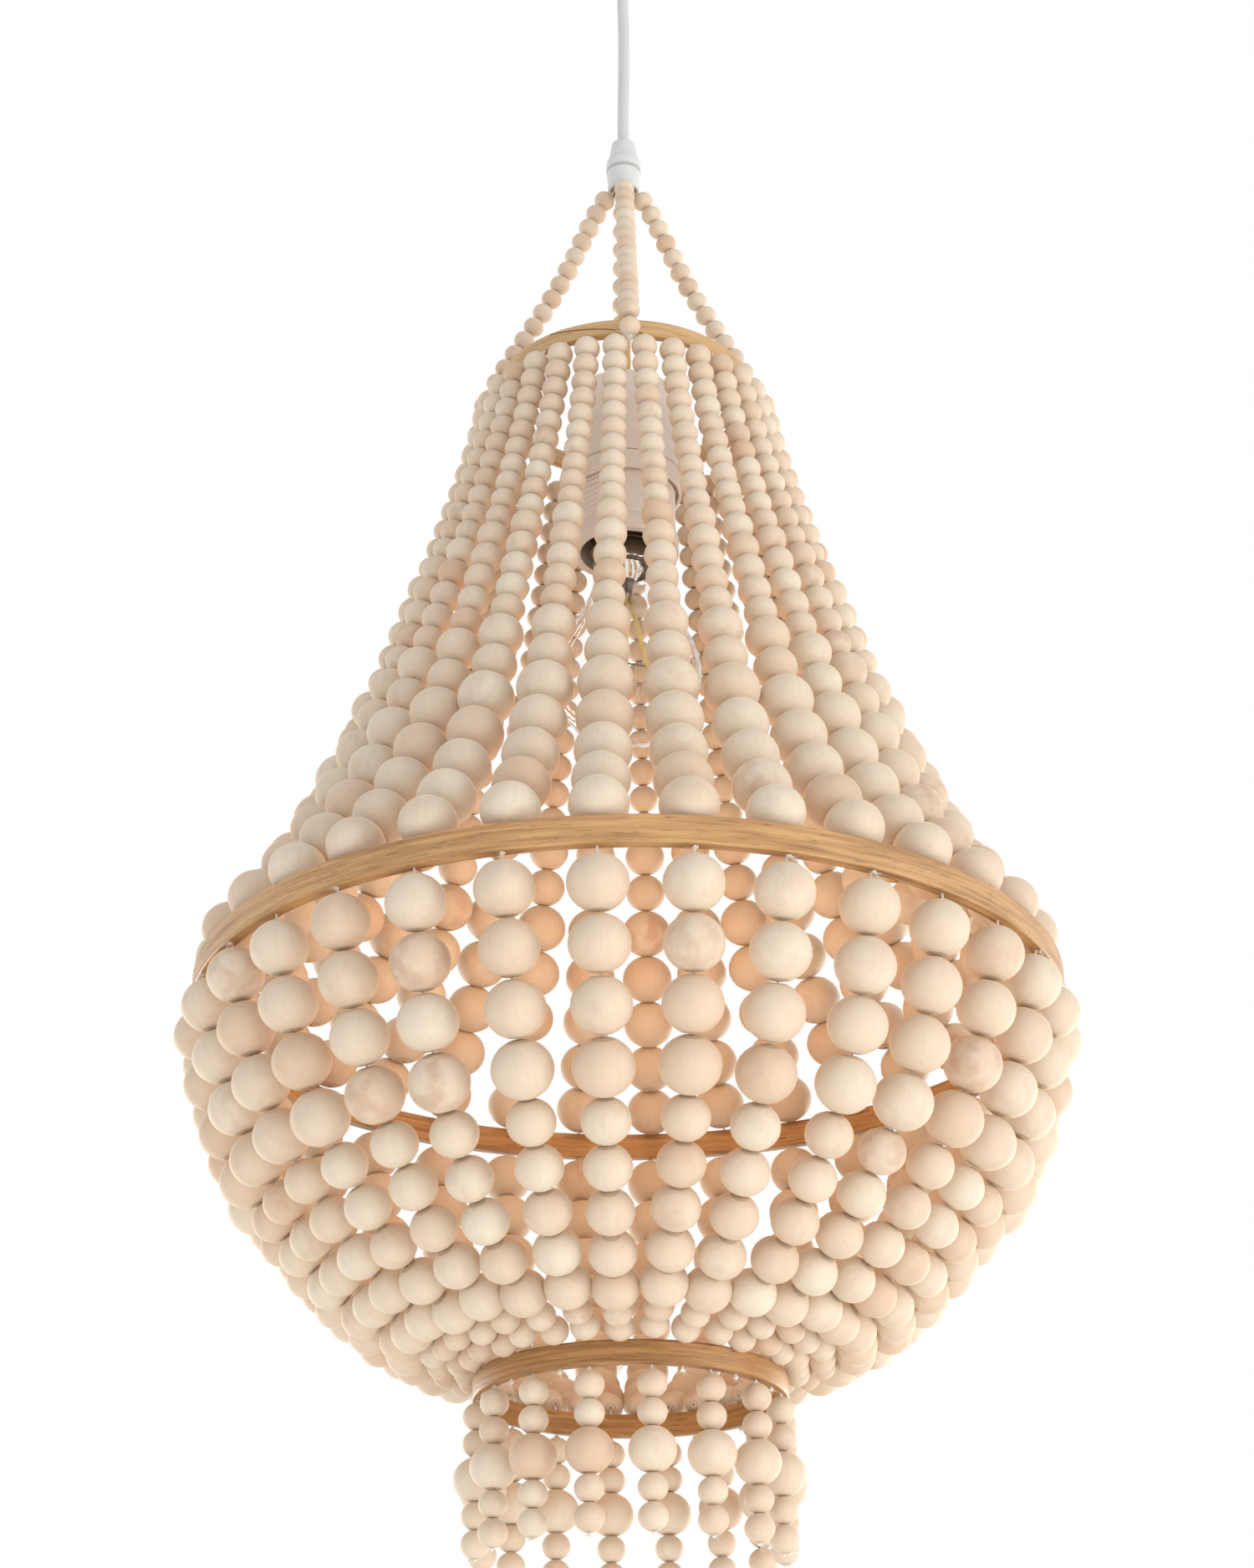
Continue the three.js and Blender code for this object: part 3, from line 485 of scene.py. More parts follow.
def cotton_thread():
    """Bleached cotton thread: bright white, matt, twisted about every 0.8 mm, with painted shade in
    the grooves of the twist. A wave texture has 20 radians to each unit of its scale."""
    material, tree = new_material("cotton_thread")
    place = add_node(tree, "ShaderNodeTexCoord").outputs["Object"]
    twist = add_node(tree, "ShaderNodeTexWave", {"bands_direction": "Z"}, {
        "Vector": place, "Scale": round(math.tau / 20 * scale_for(0.7854)), "Distortion": 2.0,
        "Detail": 1.0})
    # Painted shade: the twist's grooves, where the bump is low, take the darker cream
    colour = add_node(tree, "ShaderNodeMix", {"data_type": "RGBA"}, {
        0: twist.outputs["Fac"], 6: linear("#E2DACE"), 7: linear("#F8F5EF")})
    bump = add_node(tree, "ShaderNodeBump", inputs={
        "Strength": 0.4, "Distance": 0.0002, "Height": twist.outputs["Fac"]})
    shader = add_node(tree, "ShaderNodeBsdfPrincipled", inputs={
        "Base Color": colour.outputs[2], "Roughness": 0.9, "Sheen Weight": 0.3,
        "Normal": bump.outputs[0]})
    finish_material(tree, shader)
    return material


def varnished_bamboo(name, light_code, dark_code, fleck_code):
    """Bent bamboo strip under thin varnish: long fibres that run round the hoop, darker
    streaks and short dark flecks, with a soft gloss. The fibres are drawn coarser than real
    ones, so that they show."""
    fibre_stretch = 22.0
    material, tree = new_material(name)
    place = add_node(tree, "ShaderNodeTexCoord").outputs["Object"]
    parts = add_node(tree, "ShaderNodeSeparateXYZ", inputs={0: place})
    flat = add_node(tree, "ShaderNodeCombineXYZ", inputs={
        0: parts.outputs[0], 1: parts.outputs[1]})
    radius = add_node(tree, "ShaderNodeVectorMath", {"operation": "LENGTH"}, {0: flat.outputs[0]})
    across = add_node(tree, "ShaderNodeMath", {"operation": "ADD"}, {
        0: parts.outputs[2], 1: radius.outputs["Value"]})
    wide = add_node(tree, "ShaderNodeMath", {"operation": "MULTIPLY"}, {
        0: across.outputs[0], 1: fibre_stretch})
    along_fibre = add_node(tree, "ShaderNodeCombineXYZ", inputs={
        0: parts.outputs[0], 1: parts.outputs[1], 2: wide.outputs[0]})
    fibre = add_node(tree, "ShaderNodeTexNoise", inputs={
        "Vector": along_fibre.outputs[0], "Scale": scale_for(38.46), "Detail": 6.0,
        "Roughness": 0.6, "Distortion": 0.5})
    broad = add_node(tree, "ShaderNodeTexNoise", inputs={
        "Vector": place, "Scale": scale_for(62.5), "Detail": 2.0})
    fleck = add_node(tree, "ShaderNodeTexNoise", inputs={
        "Vector": along_fibre.outputs[0], "Scale": scale_for(6.667), "Detail": 1.0})
    fibre_depth = add_node(tree, "ShaderNodeMapRange", inputs={
        "Value": fibre.outputs["Fac"], "From Min": 0.36, "From Max": 0.68})
    base = add_node(tree, "ShaderNodeMix", {"data_type": "RGBA"}, {
        0: fibre_depth.outputs[0], 6: linear(light_code), 7: linear(dark_code)})
    broad_depth = add_node(tree, "ShaderNodeMapRange", inputs={
        "Value": broad.outputs["Fac"], "From Min": 0.4, "From Max": 0.7, "To Max": 0.35})
    clouded = add_node(tree, "ShaderNodeMix", {"data_type": "RGBA"}, {
        0: broad_depth.outputs[0], 6: base.outputs[2], 7: linear(light_code)})
    fleck_depth = add_node(tree, "ShaderNodeMapRange", inputs={
        "Value": fleck.outputs["Fac"], "From Min": 0.67, "From Max": 0.71, "To Max": 0.75})
    coloured = add_node(tree, "ShaderNodeMix", {"data_type": "RGBA"}, {
        0: fleck_depth.outputs[0], 6: clouded.outputs[2], 7: linear(fleck_code)})
    bump = add_node(tree, "ShaderNodeBump", inputs={
        "Strength": 0.3, "Distance": 0.0005, "Height": fibre.outputs["Fac"]})
    shader = add_node(tree, "ShaderNodeBsdfPrincipled", inputs={
        "Base Color": coloured.outputs[2], "Roughness": 0.42, "IOR": 1.5,
        "Coat Weight": 0.15, "Coat Roughness": 0.3, "Normal": bump.outputs[0]})
    finish_material(tree, shader)
    return material


def moulded_plastic(name, code, shade_code, roughness):
    """Injection-moulded plastic: even colour with a slight cloudiness and a fine orange-peel
    surface that softens its highlights."""
    material, tree = new_material(name)
    place = add_node(tree, "ShaderNodeTexCoord").outputs["Object"]
    cloud = add_node(tree, "ShaderNodeTexNoise", inputs={
        "Vector": place, "Scale": scale_for(16.67)})
    colour = add_node(tree, "ShaderNodeMix", {"data_type": "RGBA"}, {
        0: cloud.outputs["Fac"], 6: linear(code), 7: linear(shade_code)})
    peel = add_node(tree, "ShaderNodeTexNoise", inputs={
        "Vector": place, "Scale": scale_for(0.7143)})
    bump = add_node(tree, "ShaderNodeBump", inputs={
        "Strength": 0.08, "Distance": 0.0002, "Height": peel.outputs["Fac"]})
    shader = add_node(tree, "ShaderNodeBsdfPrincipled", inputs={
        "Base Color": colour.outputs[2], "Roughness": roughness, "IOR": 1.53,
        "Normal": bump.outputs[0]})
    finish_material(tree, shader)
    return material


def plated_metal(name, code, dull_code, roughness):
    """Stamped and plated metal: metallic, with faint drawing marks and duller clouds."""
    material, tree = new_material(name)
    place = add_node(tree, "ShaderNodeTexCoord").outputs["Object"]
    marks = add_node(tree, "ShaderNodeTexNoise", inputs={
        "Vector": place, "Scale": scale_for(3.333), "Detail": 4.0})
    cloud = add_node(tree, "ShaderNodeTexNoise", inputs={
        "Vector": place, "Scale": scale_for(22.22)})
    colour = add_node(tree, "ShaderNodeMix", {"data_type": "RGBA"}, {
        0: cloud.outputs["Fac"], 6: linear(code), 7: linear(dull_code)})
    rough = add_node(tree, "ShaderNodeMapRange", inputs={
        "Value": marks.outputs["Fac"], "To Min": roughness * 0.8, "To Max": roughness * 1.3})
    shader = add_node(tree, "ShaderNodeBsdfPrincipled", inputs={
        "Base Color": colour.outputs[2], "Metallic": 1.0, "Roughness": rough.outputs[0]})
    finish_material(tree, shader)
    return material


def blown_glass():
    """Clear glass of the bulb: smooth, with slight waves. Its IOR of 1.3 is under the usual 1.5."""
    material, tree = new_material("blown_glass")
    place = add_node(tree, "ShaderNodeTexCoord").outputs["Object"]
    waves = add_node(tree, "ShaderNodeTexNoise", inputs={
        "Vector": place, "Scale": scale_for(25)})
    bump = add_node(tree, "ShaderNodeBump", inputs={
        "Strength": 0.02, "Distance": 0.001, "Height": waves.outputs["Fac"]})
    shader = add_node(tree, "ShaderNodeBsdfPrincipled", inputs={
        "Base Color": linear("#FFFFFF"), "Roughness": 0.0, "IOR": 1.3,
        "Transmission Weight": 1.0, "Normal": bump.outputs[0]})
    finish_material(tree, shader)
    return material


def filament_coating():
    """Yellow phosphor in silicone over the filament strips, finely speckled."""
    material, tree = new_material("filament_coating")
    place = add_node(tree, "ShaderNodeTexCoord").outputs["Object"]
    speckle = add_node(tree, "ShaderNodeTexNoise", inputs={
        "Vector": place, "Scale": scale_for(1.111)})
    colour = add_node(tree, "ShaderNodeMix", {"data_type": "RGBA"}, {
        0: speckle.outputs["Fac"], 6: linear("#FDEFA8"), 7: linear("#F8E07C")})
    shader = add_node(tree, "ShaderNodeBsdfPrincipled", inputs={
        "Base Color": colour.outputs[2], "Roughness": 0.55})
    finish_material(tree, shader)
    return material


def scarf_glue_and_shadow():
    """Glue, and painted shadow of the step, in the joint of a bent strip: dark brown, matt, uneven.
    """
    material, tree = new_material("scarf_glue_and_shadow")
    place = add_node(tree, "ShaderNodeTexCoord").outputs["Object"]
    uneven = add_node(tree, "ShaderNodeTexNoise", inputs={
        "Vector": place, "Scale": scale_for(3.846)})
    colour = add_node(tree, "ShaderNodeMix", {"data_type": "RGBA"}, {
        0: uneven.outputs["Fac"], 6: linear("#7A5732"), 7: linear("#4E3519")})
    shader = add_node(tree, "ShaderNodeBsdfPrincipled", inputs={
        "Base Color": colour.outputs[2], "Roughness": 0.8})
    finish_material(tree, shader)
    return material


# Materials of this lamp. The black glass of the bulb's cap is drawn as a moulding. The nickel of
# that cap and of the holder's shell is darker than plain nickel: painted shade of the holder's
# inside
wood = raw_turned_wood()
glue_and_shadow = scarf_glue_and_shadow()
thread_cotton = cotton_thread()
top_bamboo = varnished_bamboo("pale_bamboo", "#D2AC7A", "#B08858", "#7A5632")
bamboo = varnished_bamboo("varnished_bamboo", "#CB9E68", "#93683C", "#4E3216")
# The lower hoop's bamboo is a darker copy of the same bamboo: painted shade of that hoop
lower_bamboo = varnished_bamboo("shade_darkened_bamboo", "#B4834A", "#7E552A", "#432A12")
abs_plastic = moulded_plastic("satin_abs", "#D3D5D4", "#CBCDCC", 0.42)
holder_plastic = moulded_plastic("holder_thermoset", "#F0E7DF", "#E8DED5", 0.38)
pvc = moulded_plastic("pvc_flex_sheath", "#CDCFCF", "#C3C5C5", 0.3)
inner_pvc = moulded_plastic("gold_inner_flex", "#C8A468", "#B89254", 0.3)
zinc = plated_metal("zinc_plated_steel", "#C4C7C9", "#A9ACAE", 0.35)
# Painted shade: this nickel is darkened for the shade inside the holder
shade_darkened_nickel = plated_metal("nickel_with_painted_shade", "#85735F", "#65574A", 0.4)
brass = plated_metal("bare_brass", "#D1AC5F", "#B08A45", 0.3)
solder = plated_metal("soft_solder", "#BFC1C2", "#9A9D9F", 0.5)
black_glass = moulded_plastic("black_cap_glass", "#1E1C1B", "#2A2725", 0.2)
support_wire = plated_metal("nickel_iron_wire", "#8E8B86", "#6E6B66", 0.35)
glass = blown_glass()
phosphor = filament_coating()


def new_piece(name, mesh_data, body, nodes, materials):
    """Turns a bmesh into a piece that stands for its CAD nodes. It rides on a body, unless it
    is given none because it bends between two."""
    mesh = bpy.data.meshes.new(name)
    mesh_data.to_mesh(mesh)
    mesh_data.free()
    for material in materials:
        mesh.materials.append(material)
    piece = bpy.data.objects.new(name, mesh)
    bpy.context.scene.collection.objects.link(piece)
    if body:
        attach(piece, body)
    if nodes:
        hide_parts(*nodes)
    return piece


# Flex: the free stretch, as one cord that hangs taut
cord_top = level("supply_cord")[1]
cord_data = bpy.data.curves.new("supply_flex", "CURVE")
cord_data.dimensions = "3D"
cord_data.bevel_depth = CORD_DIAMETER / 2
cord_data.bevel_resolution = 6
cord_data.use_fill_caps = True
cord_line = cord_data.splines.new("BEZIER")
cord_line.bezier_points.add(len(CORD_WANDER) - 1)
for i, wander in enumerate(CORD_WANDER):
    point = cord_line.bezier_points[i]
    drop = CORD_LENGTH * i / (len(CORD_WANDER) - 1)
    point.co = (wander, 0, cord_top - drop)
    point.handle_left_type = "AUTO"
    point.handle_right_type = "AUTO"
cord_data.materials.append(pvc)
supply_flex = bpy.data.objects.new("supply_flex", cord_data)
bpy.context.scene.collection.objects.link(supply_flex)
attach(supply_flex, "lamp")
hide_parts("supply_cord")


def spin_profile(target, profile, steps):
    """Turns a profile of radius and height round the upright axis, and closes its seam."""
    made = [target.verts.new((radius, 0, height)) for radius, height in profile]
    edges = [target.edges.new(pair) for pair in zip(made, made[1:])]
    bmesh.ops.spin(
        target, geom=made + edges, cent=(0, 0, 0), axis=(0, 0, 1), angle=2 * math.pi,
        steps=steps, use_merge=True)
    bmesh.ops.remove_doubles(target, verts=target.verts[:], dist=MERGE_DISTANCE)
    bmesh.ops.recalc_face_normals(target, faces=target.faces[:])


def smooth_faces(target):
    """Shades every face of a shape smooth."""
    for face in target.faces:
        face.smooth = True


def soften(piece, width, angle=SHARP_ANGLE):
    """Rounds the sharp edges of a piece and shades the rest smooth."""
    piece.data.set_sharp_from_angle(angle=math.radians(angle))
    bevel = piece.modifiers.new("rounded_edges", "BEVEL")
    bevel.width = width
    bevel.segments = 2
    bevel.limit_method = "ANGLE"
    bevel.angle_limit = math.radians(angle)
    bevel.harden_normals = True


def turned_piece(name, profile, material, body, nodes, steps=THREAD_STEPS, edge=TURNED_EDGE):
    """A turned or moulded round piece from its closed profile."""
    shape = bmesh.new()
    spin_profile(shape, profile, steps)
    smooth_faces(shape)
    piece = new_piece(name, shape, body, nodes, [material])
    soften(piece, edge)


def bead_shape(diameter):
    """A turned bead with the flats round its bore, made of few faces for the subdivision."""
    shape = bmesh.new()
    radius = diameter / 2
    lowest = math.acos(FLAT_SHARE)
    profile = [(0, -radius * math.sin(lowest))]
    for row in range(BEAD_ROWS + 1):
        angle = -lowest + 2 * lowest * row / BEAD_ROWS
        width = radius * math.cos(angle) / SUBDIVISION_SHRINK_SHARE
        profile.append((width, radius * math.sin(angle)))
    profile.append((0, radius * math.sin(lowest)))
    spin_profile(shape, profile, BEAD_STEPS)
    smooth_faces(shape)
    mesh = bpy.data.meshes.new("bead_shape")
    shape.to_mesh(mesh)
    shape.free()
    return mesh


bead_shapes = {
    size: bead_shape(size)
    for size in (HANGER_BEAD, SMALL_BEAD, MEDIUM_BEAD, LARGE_BEAD, GIANT_BEAD)
}


def add_bead(target, layers, centre, direction, size):
    """Adds one bead with its bore along direction, and its own tone, patch and grain."""
    first = len(target.verts)
    target.from_mesh(bead_shapes[size])
    target.verts.ensure_lookup_table()
    made = target.verts[first:]
    tone = min(1.0, max(0.0, picker.gauss(TONE_MIDDLE, TONE_SPREAD)))
    if picker.random() < BROWN_BEAD_SHARE:
        tone = picker.uniform(*BROWN_TONES)
    depths = PATCHY_DEPTHS if picker.random() < PATCHY_BEAD_SHARE else PLAIN_DEPTHS
    patch = picker.uniform(*depths)
    offset = Vector([picker.uniform(-1, 1) for _ in range(3)])
    for vertex in made:
        vertex[layers["tone"]] = tone
        vertex[layers["patch"]] = patch
        vertex[layers["bore"]] = math.hypot(vertex.co.x, vertex.co.y) / (size / 2)
        vertex[layers["grain"]] = vertex.co + offset
    spin = Matrix.Rotation(picker.uniform(0, math.tau), 4, "Z")
    wobble = Matrix.Rotation(math.radians(picker.uniform(-BEAD_TILT, BEAD_TILT)), 4, "X")
    aim = direction.to_track_quat("Z", "Y").to_matrix().to_4x4()
    grow = Matrix.Scale(picker.uniform(*BEAD_GROWTH), 4)
    bmesh.ops.transform(
        target, matrix=Matrix.Translation(centre) @ aim @ wobble @ spin @ grow, verts=made)


def curve_point(a, b, c, d, share):
    """A point between b and c on the smooth curve through four points."""
    times = [0.0]
    for one, other in ((a, b), (b, c), (c, d)):
        times.append(times[-1] + math.sqrt((other - one).length))
    now = times[1] + share * (times[2] - times[1])

    def between(one, other, start, end):
        """The point of the line through two points that is reached now."""
        return one.lerp(other, (now - times[start]) / (times[end] - times[start]))

    ab, bc, cd = between(a, b, 0, 1), between(b, c, 1, 2), between(c, d, 2, 3)
    return between(between(ab, bc, 0, 2), between(bc, cd, 1, 3), 1, 2)


def smooth_route(points, steps=16):
    """A close row of points on the smooth curve through the given ones."""
    padded = [2 * points[0] - points[1], *points, 2 * points[-1] - points[-2]]
    route = []
    for i in range(len(points) - 1):
        for step in range(steps):
            route.append(curve_point(*padded[i:i + 4], step / steps))
    route.append(points[-1].copy())
    return route


def along(route, distance):
    """The point and the direction at a distance along a route, or past one of its ends."""
    left = distance
    for start, end in zip(route, route[1:]):
        leg = (end - start).length
        if left <= leg or end is route[-1]:
            return start.lerp(end, left / leg), (end - start).normalized()
        left -= leg


def add_bead_run(target, layers, route, sizes, shift=0.0, upright=0.0):
    """Beads one after another along a route, shifted more and more towards its end. The last
    ones stand upright by the given share, as their thread drops into the hoop's hole."""
    length = sum((end - start).length for start, end in zip(route, route[1:]))
    passed = 0.0
    for size in sizes:
        share = (passed + size / 2) / sum(sizes)
        centre, direction = along(route, share * (length + shift))
        if passed + (UPRIGHT_BEADS + 0.5) * size > sum(sizes):
            direction = direction.lerp(Vector((0, 0, -1)), upright)
        add_bead(target, layers, centre, direction, size)
        passed += size


def add_thread(target, points, radius, tapered=False):
    """A thread through the points, as one closed tube in the piece's second material. A tapered
    one thins out to its end."""
    line = bpy.data.curves.new("thread", "CURVE")
    line.dimensions = "3D"
    line.bevel_depth = radius
    line.bevel_resolution = 0
    line.use_fill_caps = True
    spline = line.splines.new("POLY")
    spline.points.add(len(points) - 1)
    for i, point in enumerate(points):
        spline.points[i].co = (*point, 1)
        spline.points[i].radius = 1 - 0.8 * i / (len(points) - 1) if tapered else 1
    holder = bpy.data.objects.new("thread", line)
    tube = bpy.data.meshes.new_from_object(holder)
    first = len(target.faces)
    target.from_mesh(tube)
    target.faces.ensure_lookup_table()
    for face in target.faces[first:]:
        face.material_index = 1
        face.smooth = True
    bpy.data.objects.remove(holder)
    bpy.data.curves.remove(line)
    bpy.data.meshes.remove(tube)


def add_knot(target, centre, size):
    """An overhand knot pulled tight: two crossed turns of thread."""
    tilt = picker.uniform(0, math.pi)
    for bend in (0, 1):
        loop = []
        for corner in range(KNOT_SIDES + 1):
            angle = math.tau * corner / KNOT_SIDES
            loop.append(centre + Vector((
                size * math.cos(angle) * math.cos(tilt + bend),
                size * math.cos(angle) * math.sin(tilt + bend),
                0.5 * size * math.sin(angle) + 0.2 * size * bend)))
        add_thread(target, loop, 0.55 * size)


def add_fray(target, start, direction, length, hairs):
    """Loose hairs of a cut thread, splayed round a direction."""
    for _ in range(hairs):
        aim = direction + Vector([picker.uniform(-0.8, 0.8) for _ in range(3)])
        aim.normalize()
        bend = Vector([picker.uniform(-0.3, 0.3) for _ in range(3)])
        reach_of_hair = length * picker.uniform(0.5, 1.0)
        points = [
            start,
            start + aim * reach_of_hair * 0.5 + bend * reach_of_hair * 0.2,
            start + aim * reach_of_hair + bend * reach_of_hair * 0.6,
        ]
        add_thread(target, points, HAIR_RADIUS, tapered=True)


def bead_layers(target):
    """The values that each bead gives its wood: tone, patches, how far a spot is from the bore,
    and its place in the grain."""
    return {
        "tone": target.verts.layers.float.new("bead_tone"),
        "patch": target.verts.layers.float.new("bead_patch"),
        "bore": target.verts.layers.float.new("bead_bore"),
        "grain": target.verts.layers.float_vector.new("bead_grain"),
    }


def bead_piece(name, shape, body, node):
    """A threaded string: wooden beads and cotton thread."""
    piece = new_piece(name, shape, body, [node], [wood, thread_cotton])
    rounding = piece.modifiers.new("round_beads", "SUBSURF")
    rounding.levels = 1
    rounding.render_levels = 1


# Levels and sizes read from the frame
top_low, top_high = level("top_hoop")
top_outer = reach("top_hoop")
top_radius = top_outer - TOP_THICKNESS / 2
middle_low, middle_high = level("middle_hoop")
middle_radius = reach("middle_hoop") - MIDDLE_THICKNESS / 2
lower_low, lower_high = level("lower_hoop")
lower_radius = reach("lower_hoop") - LOWER_THICKNESS / 2


def string_route(azimuth, start, end, shares, sway):
    """The route of beads in the upright plane of one string, which sways a little sideways."""
    points = []
    for drop_share, reach_share in shares:
        radius = start[0] + reach_share * (end[0] - start[0])
        height = start[1] + drop_share * (end[1] - start[1])
        side = sway * math.sin(math.pi * drop_share)
        points.append(polar(radius, azimuth + side / radius, height))
    return smooth_route(points)


def add_string(target, layers, index):
    """One whole string, from the top hoop down through the middle hoop to the lower hoop."""
    azimuth = string_azimuth(index)
    slack = CONE_SETTLING + picker.uniform(-SLACK_SPREAD, SLACK_SPREAD)
    stagger = NEIGHBOUR_STAGGER if index % 2 else -NEIGHBOUR_STAGGER
    stagger += picker.uniform(-SLACK_SPREAD, SLACK_SPREAD)
    cone_start = (top_outer + CONE_START_OUT, top_low - CONE_START_DROP)
    cone_end = (middle_radius - CONE_END_INSET, middle_high + CONE_END_RISE)
    bowl_start = (middle_radius, middle_low - BOWL_START_DROP)
    bowl_end = (lower_radius, lower_high + BOWL_END_RISE)
    cone = string_route(
        azimuth, cone_start, cone_end, CONE_SHARES, picker.uniform(-CONE_SWAY, CONE_SWAY))
    bowl = string_route(
        azimuth, bowl_start, bowl_end, BOWL_SHARES, picker.uniform(-BOWL_SWAY, BOWL_SWAY))
    add_bead_run(target, layers, cone, CONE_BEADS, slack, LAST_CONE_UPRIGHT)
    add_bead_run(target, layers, bowl, BOWL_BEADS, stagger)
    under_lower = polar(lower_radius, azimuth, lower_low - THREAD_RADIUS)
    add_thread(target, [
        polar(top_radius, azimuth, top_high + THREAD_RADIUS),
        polar(top_radius, azimuth, top_low),
        *cone[::THREAD_STRIDE],
        polar(middle_radius, azimuth, middle_high),
        *bowl[::THREAD_STRIDE],
        under_lower,
    ], THREAD_RADIUS)
    add_string_knots(target, azimuth, under_lower)


def add_string_knots(target, azimuth, under_lower):
    """The frayed knots of one string: under the middle hoop, where most strings show one, and
    under the lower hoop."""
    if picker.random() < MIDDLE_KNOT_SHARE:
        knot = polar(
            middle_radius + MIDDLE_KNOT_OUT, azimuth + MIDDLE_KNOT_TURN,
            middle_low - MIDDLE_KNOT_DROP)
        outward = polar(1, azimuth + picker.uniform(-0.8, 0.8), 0)
        add_fray(target, knot, outward - Vector((0, 0, 0.9)), MIDDLE_FRAY, MIDDLE_HAIRS)
        add_knot(target, knot, MIDDLE_KNOT)
    knot = under_lower - Vector((0, 0, LOWER_KNOT_DROP))
    add_knot(target, knot, LOWER_KNOT)
    add_fray(target, knot, polar(0.8, azimuth, -1), LOWER_FRAY, LOWER_HAIRS)


def add_string_pairs():
    """The bead strings in pairs, as each pair is one thread that runs over the top hoop."""
    for pair in range(STRING_COUNT // 2):
        shape = bmesh.new()
        layers = bead_layers(shape)
        add_string(shape, layers, 2 * pair)
        add_string(shape, layers, 2 * pair + 1)
        first, second = string_azimuth(2 * pair), string_azimuth(2 * pair + 1)
        over = [
            polar(
                top_radius, first + (second - first) * step / OVER_STEPS,
                top_high + THREAD_RADIUS)
            for step in range(OVER_STEPS + 1)]
        add_thread(shape, over, THREAD_RADIUS)
        bead_piece(
            f"bead_strings_{pair + 1:02d}", shape, "lamp", f"string_pair_{pair + 1:02d}")


def add_fringe():
    """Fringe strings under the lower hoop, each closed by a knot with a frayed tail."""
    for number in range(FRINGE_COUNT):
        azimuth = string_azimuth(number * STRING_COUNT // FRINGE_COUNT)
        top = lower_low - (SEAT + FRINGE_STUB)
        run = sum(FRINGE_BEADS) * math.sqrt(1 - CAD_FLAT_SHARE ** 2)
        start = polar(lower_radius, azimuth, top)
        end = polar(lower_radius, azimuth, top - run)
        shape = bmesh.new()
        layers = bead_layers(shape)
        add_bead_run(shape, layers, [start, end], FRINGE_BEADS)
        above = polar(lower_radius, azimuth, lower_low - SEAT / 2)
        tail = end - Vector((0, 0, FRINGE_TAIL))
        add_thread(shape, [above, start, end, tail], THREAD_RADIUS)
        add_knot(shape, tail - Vector((0, 0, FRINGE_KNOT_DROP)), FRINGE_KNOT)
        add_fray(
            shape, tail, polar(1, azimuth, -0.4), picker.uniform(*FRINGE_FRAY), FRINGE_HAIRS)
        bead_piece(
            f"fringe_beads_{number + 1:02d}", shape,
            f"swinging_fringe_{number + 1:02d}", f"fringe_{number + 1:02d}")


def add_hangers():
    """Four short strings from the grip's cup over the top hoop, each ending in a tied bead."""
    grip_low = level("cord_grip_cup")[0]
    first_height = grip_low - HANGER_TOP_DROP
    last_height = top_high + SEAT + HANGER_BEAD / 2
    turn_radius = HANGER_BEAD / 2 * HANGER_TURN_SHARE
    tie_radius = top_outer + HANGER_BEAD / 2 + HANGER_TIE_GAP
    tie_level = (top_low + top_high) / 2 - HANGER_TIE_DROP
    places = [
        (HANGER_TOP_RADIUS - turn_radius, first_height + turn_radius),
        (HANGER_TOP_RADIUS, first_height),
        ((HANGER_TOP_RADIUS + top_outer) / 2 - HANGER_SAG, (first_height + last_height) / 2),
        (top_outer, last_height),
        (top_outer + HANGER_END_OUT, top_high + 2 * SEAT),
    ]
    for number in range(HANGER_COUNT):
        azimuth = FIRST_AZIMUTH + number * math.tau / HANGER_COUNT
        route = smooth_route([polar(radius, azimuth, height) for radius, height in places])
        tie_top = polar(tie_radius, azimuth, tie_level + HANGER_BEAD / 2)
        tie_end = polar(tie_radius, azimuth, tie_level - HANGER_BEAD / 2)
        shape = bmesh.new()
        layers = bead_layers(shape)
        add_bead_run(shape, layers, route, HANGER_BEADS)
        add_bead(shape, layers, (tie_top + tie_end) / 2, Vector((0, 0, -1)), HANGER_BEAD)
        root = polar(HANGER_ROOT, azimuth, grip_low + HANGER_ROOT_RISE)
        mouth = polar(HANGER_ROOT, azimuth, grip_low)
        add_thread(
            shape, [root, mouth, *route[::THREAD_STRIDE], tie_top, tie_end], THREAD_RADIUS)
        add_knot(shape, tie_end - Vector((0, 0, TIE_KNOT_DROP)), TIE_KNOT)
        add_fray(shape, tie_end, polar(0.3, azimuth, -0.6), TIE_FRAY, TIE_HAIRS)
        bead_piece(f"hanger_beads_{number + 1}", shape, "lamp", f"hanger_{number + 1}")


def hoop_piece(name, node, thickness, material, wave):
    """A bent strip closed into a hoop, with rounded edges and a slight wave in its level."""
    low, high = level(node)
    outer = reach(node)
    shape = bmesh.new()
    corners = [
        (outer - thickness, low), (outer, low), (outer, high), (outer - thickness, high),
        (outer - thickness, low),
    ]
    spin_profile(shape, corners, HOOP_STEPS)
    for vertex in shape.verts:
        azimuth = math.atan2(vertex.co.x, -vertex.co.y)
        vertex.co.z += wave * (math.sin(2 * azimuth + 1) + 0.5 * math.sin(5 * azimuth))
    smooth_faces(shape)
    piece = new_piece(name, shape, "lamp", [node], [material])
    soften(piece, HOOP_EDGE)


def add_scarf_line(name, node, span):
    """The line of glue and painted shadow at a hoop's scarf joint, slanting down over its outer
    face.
    """
    low, high = level(node)
    points = []
    for step in range(SCARF_STEPS + 1):
        azimuth = span[0] + (span[1] - span[0]) * step / SCARF_STEPS
        share = SCARF_EDGE_SHARE + (1 - 2 * SCARF_EDGE_SHARE) * step / SCARF_STEPS
        points.append(polar(reach(node), azimuth, high + (low - high) * share))
    shape = bmesh.new()
    add_thread(shape, points, GLUE_AND_SHADOW_RADIUS)
    for face in shape.faces:
        face.material_index = 0
    new_piece(name, shape, "lamp", [], [glue_and_shadow])


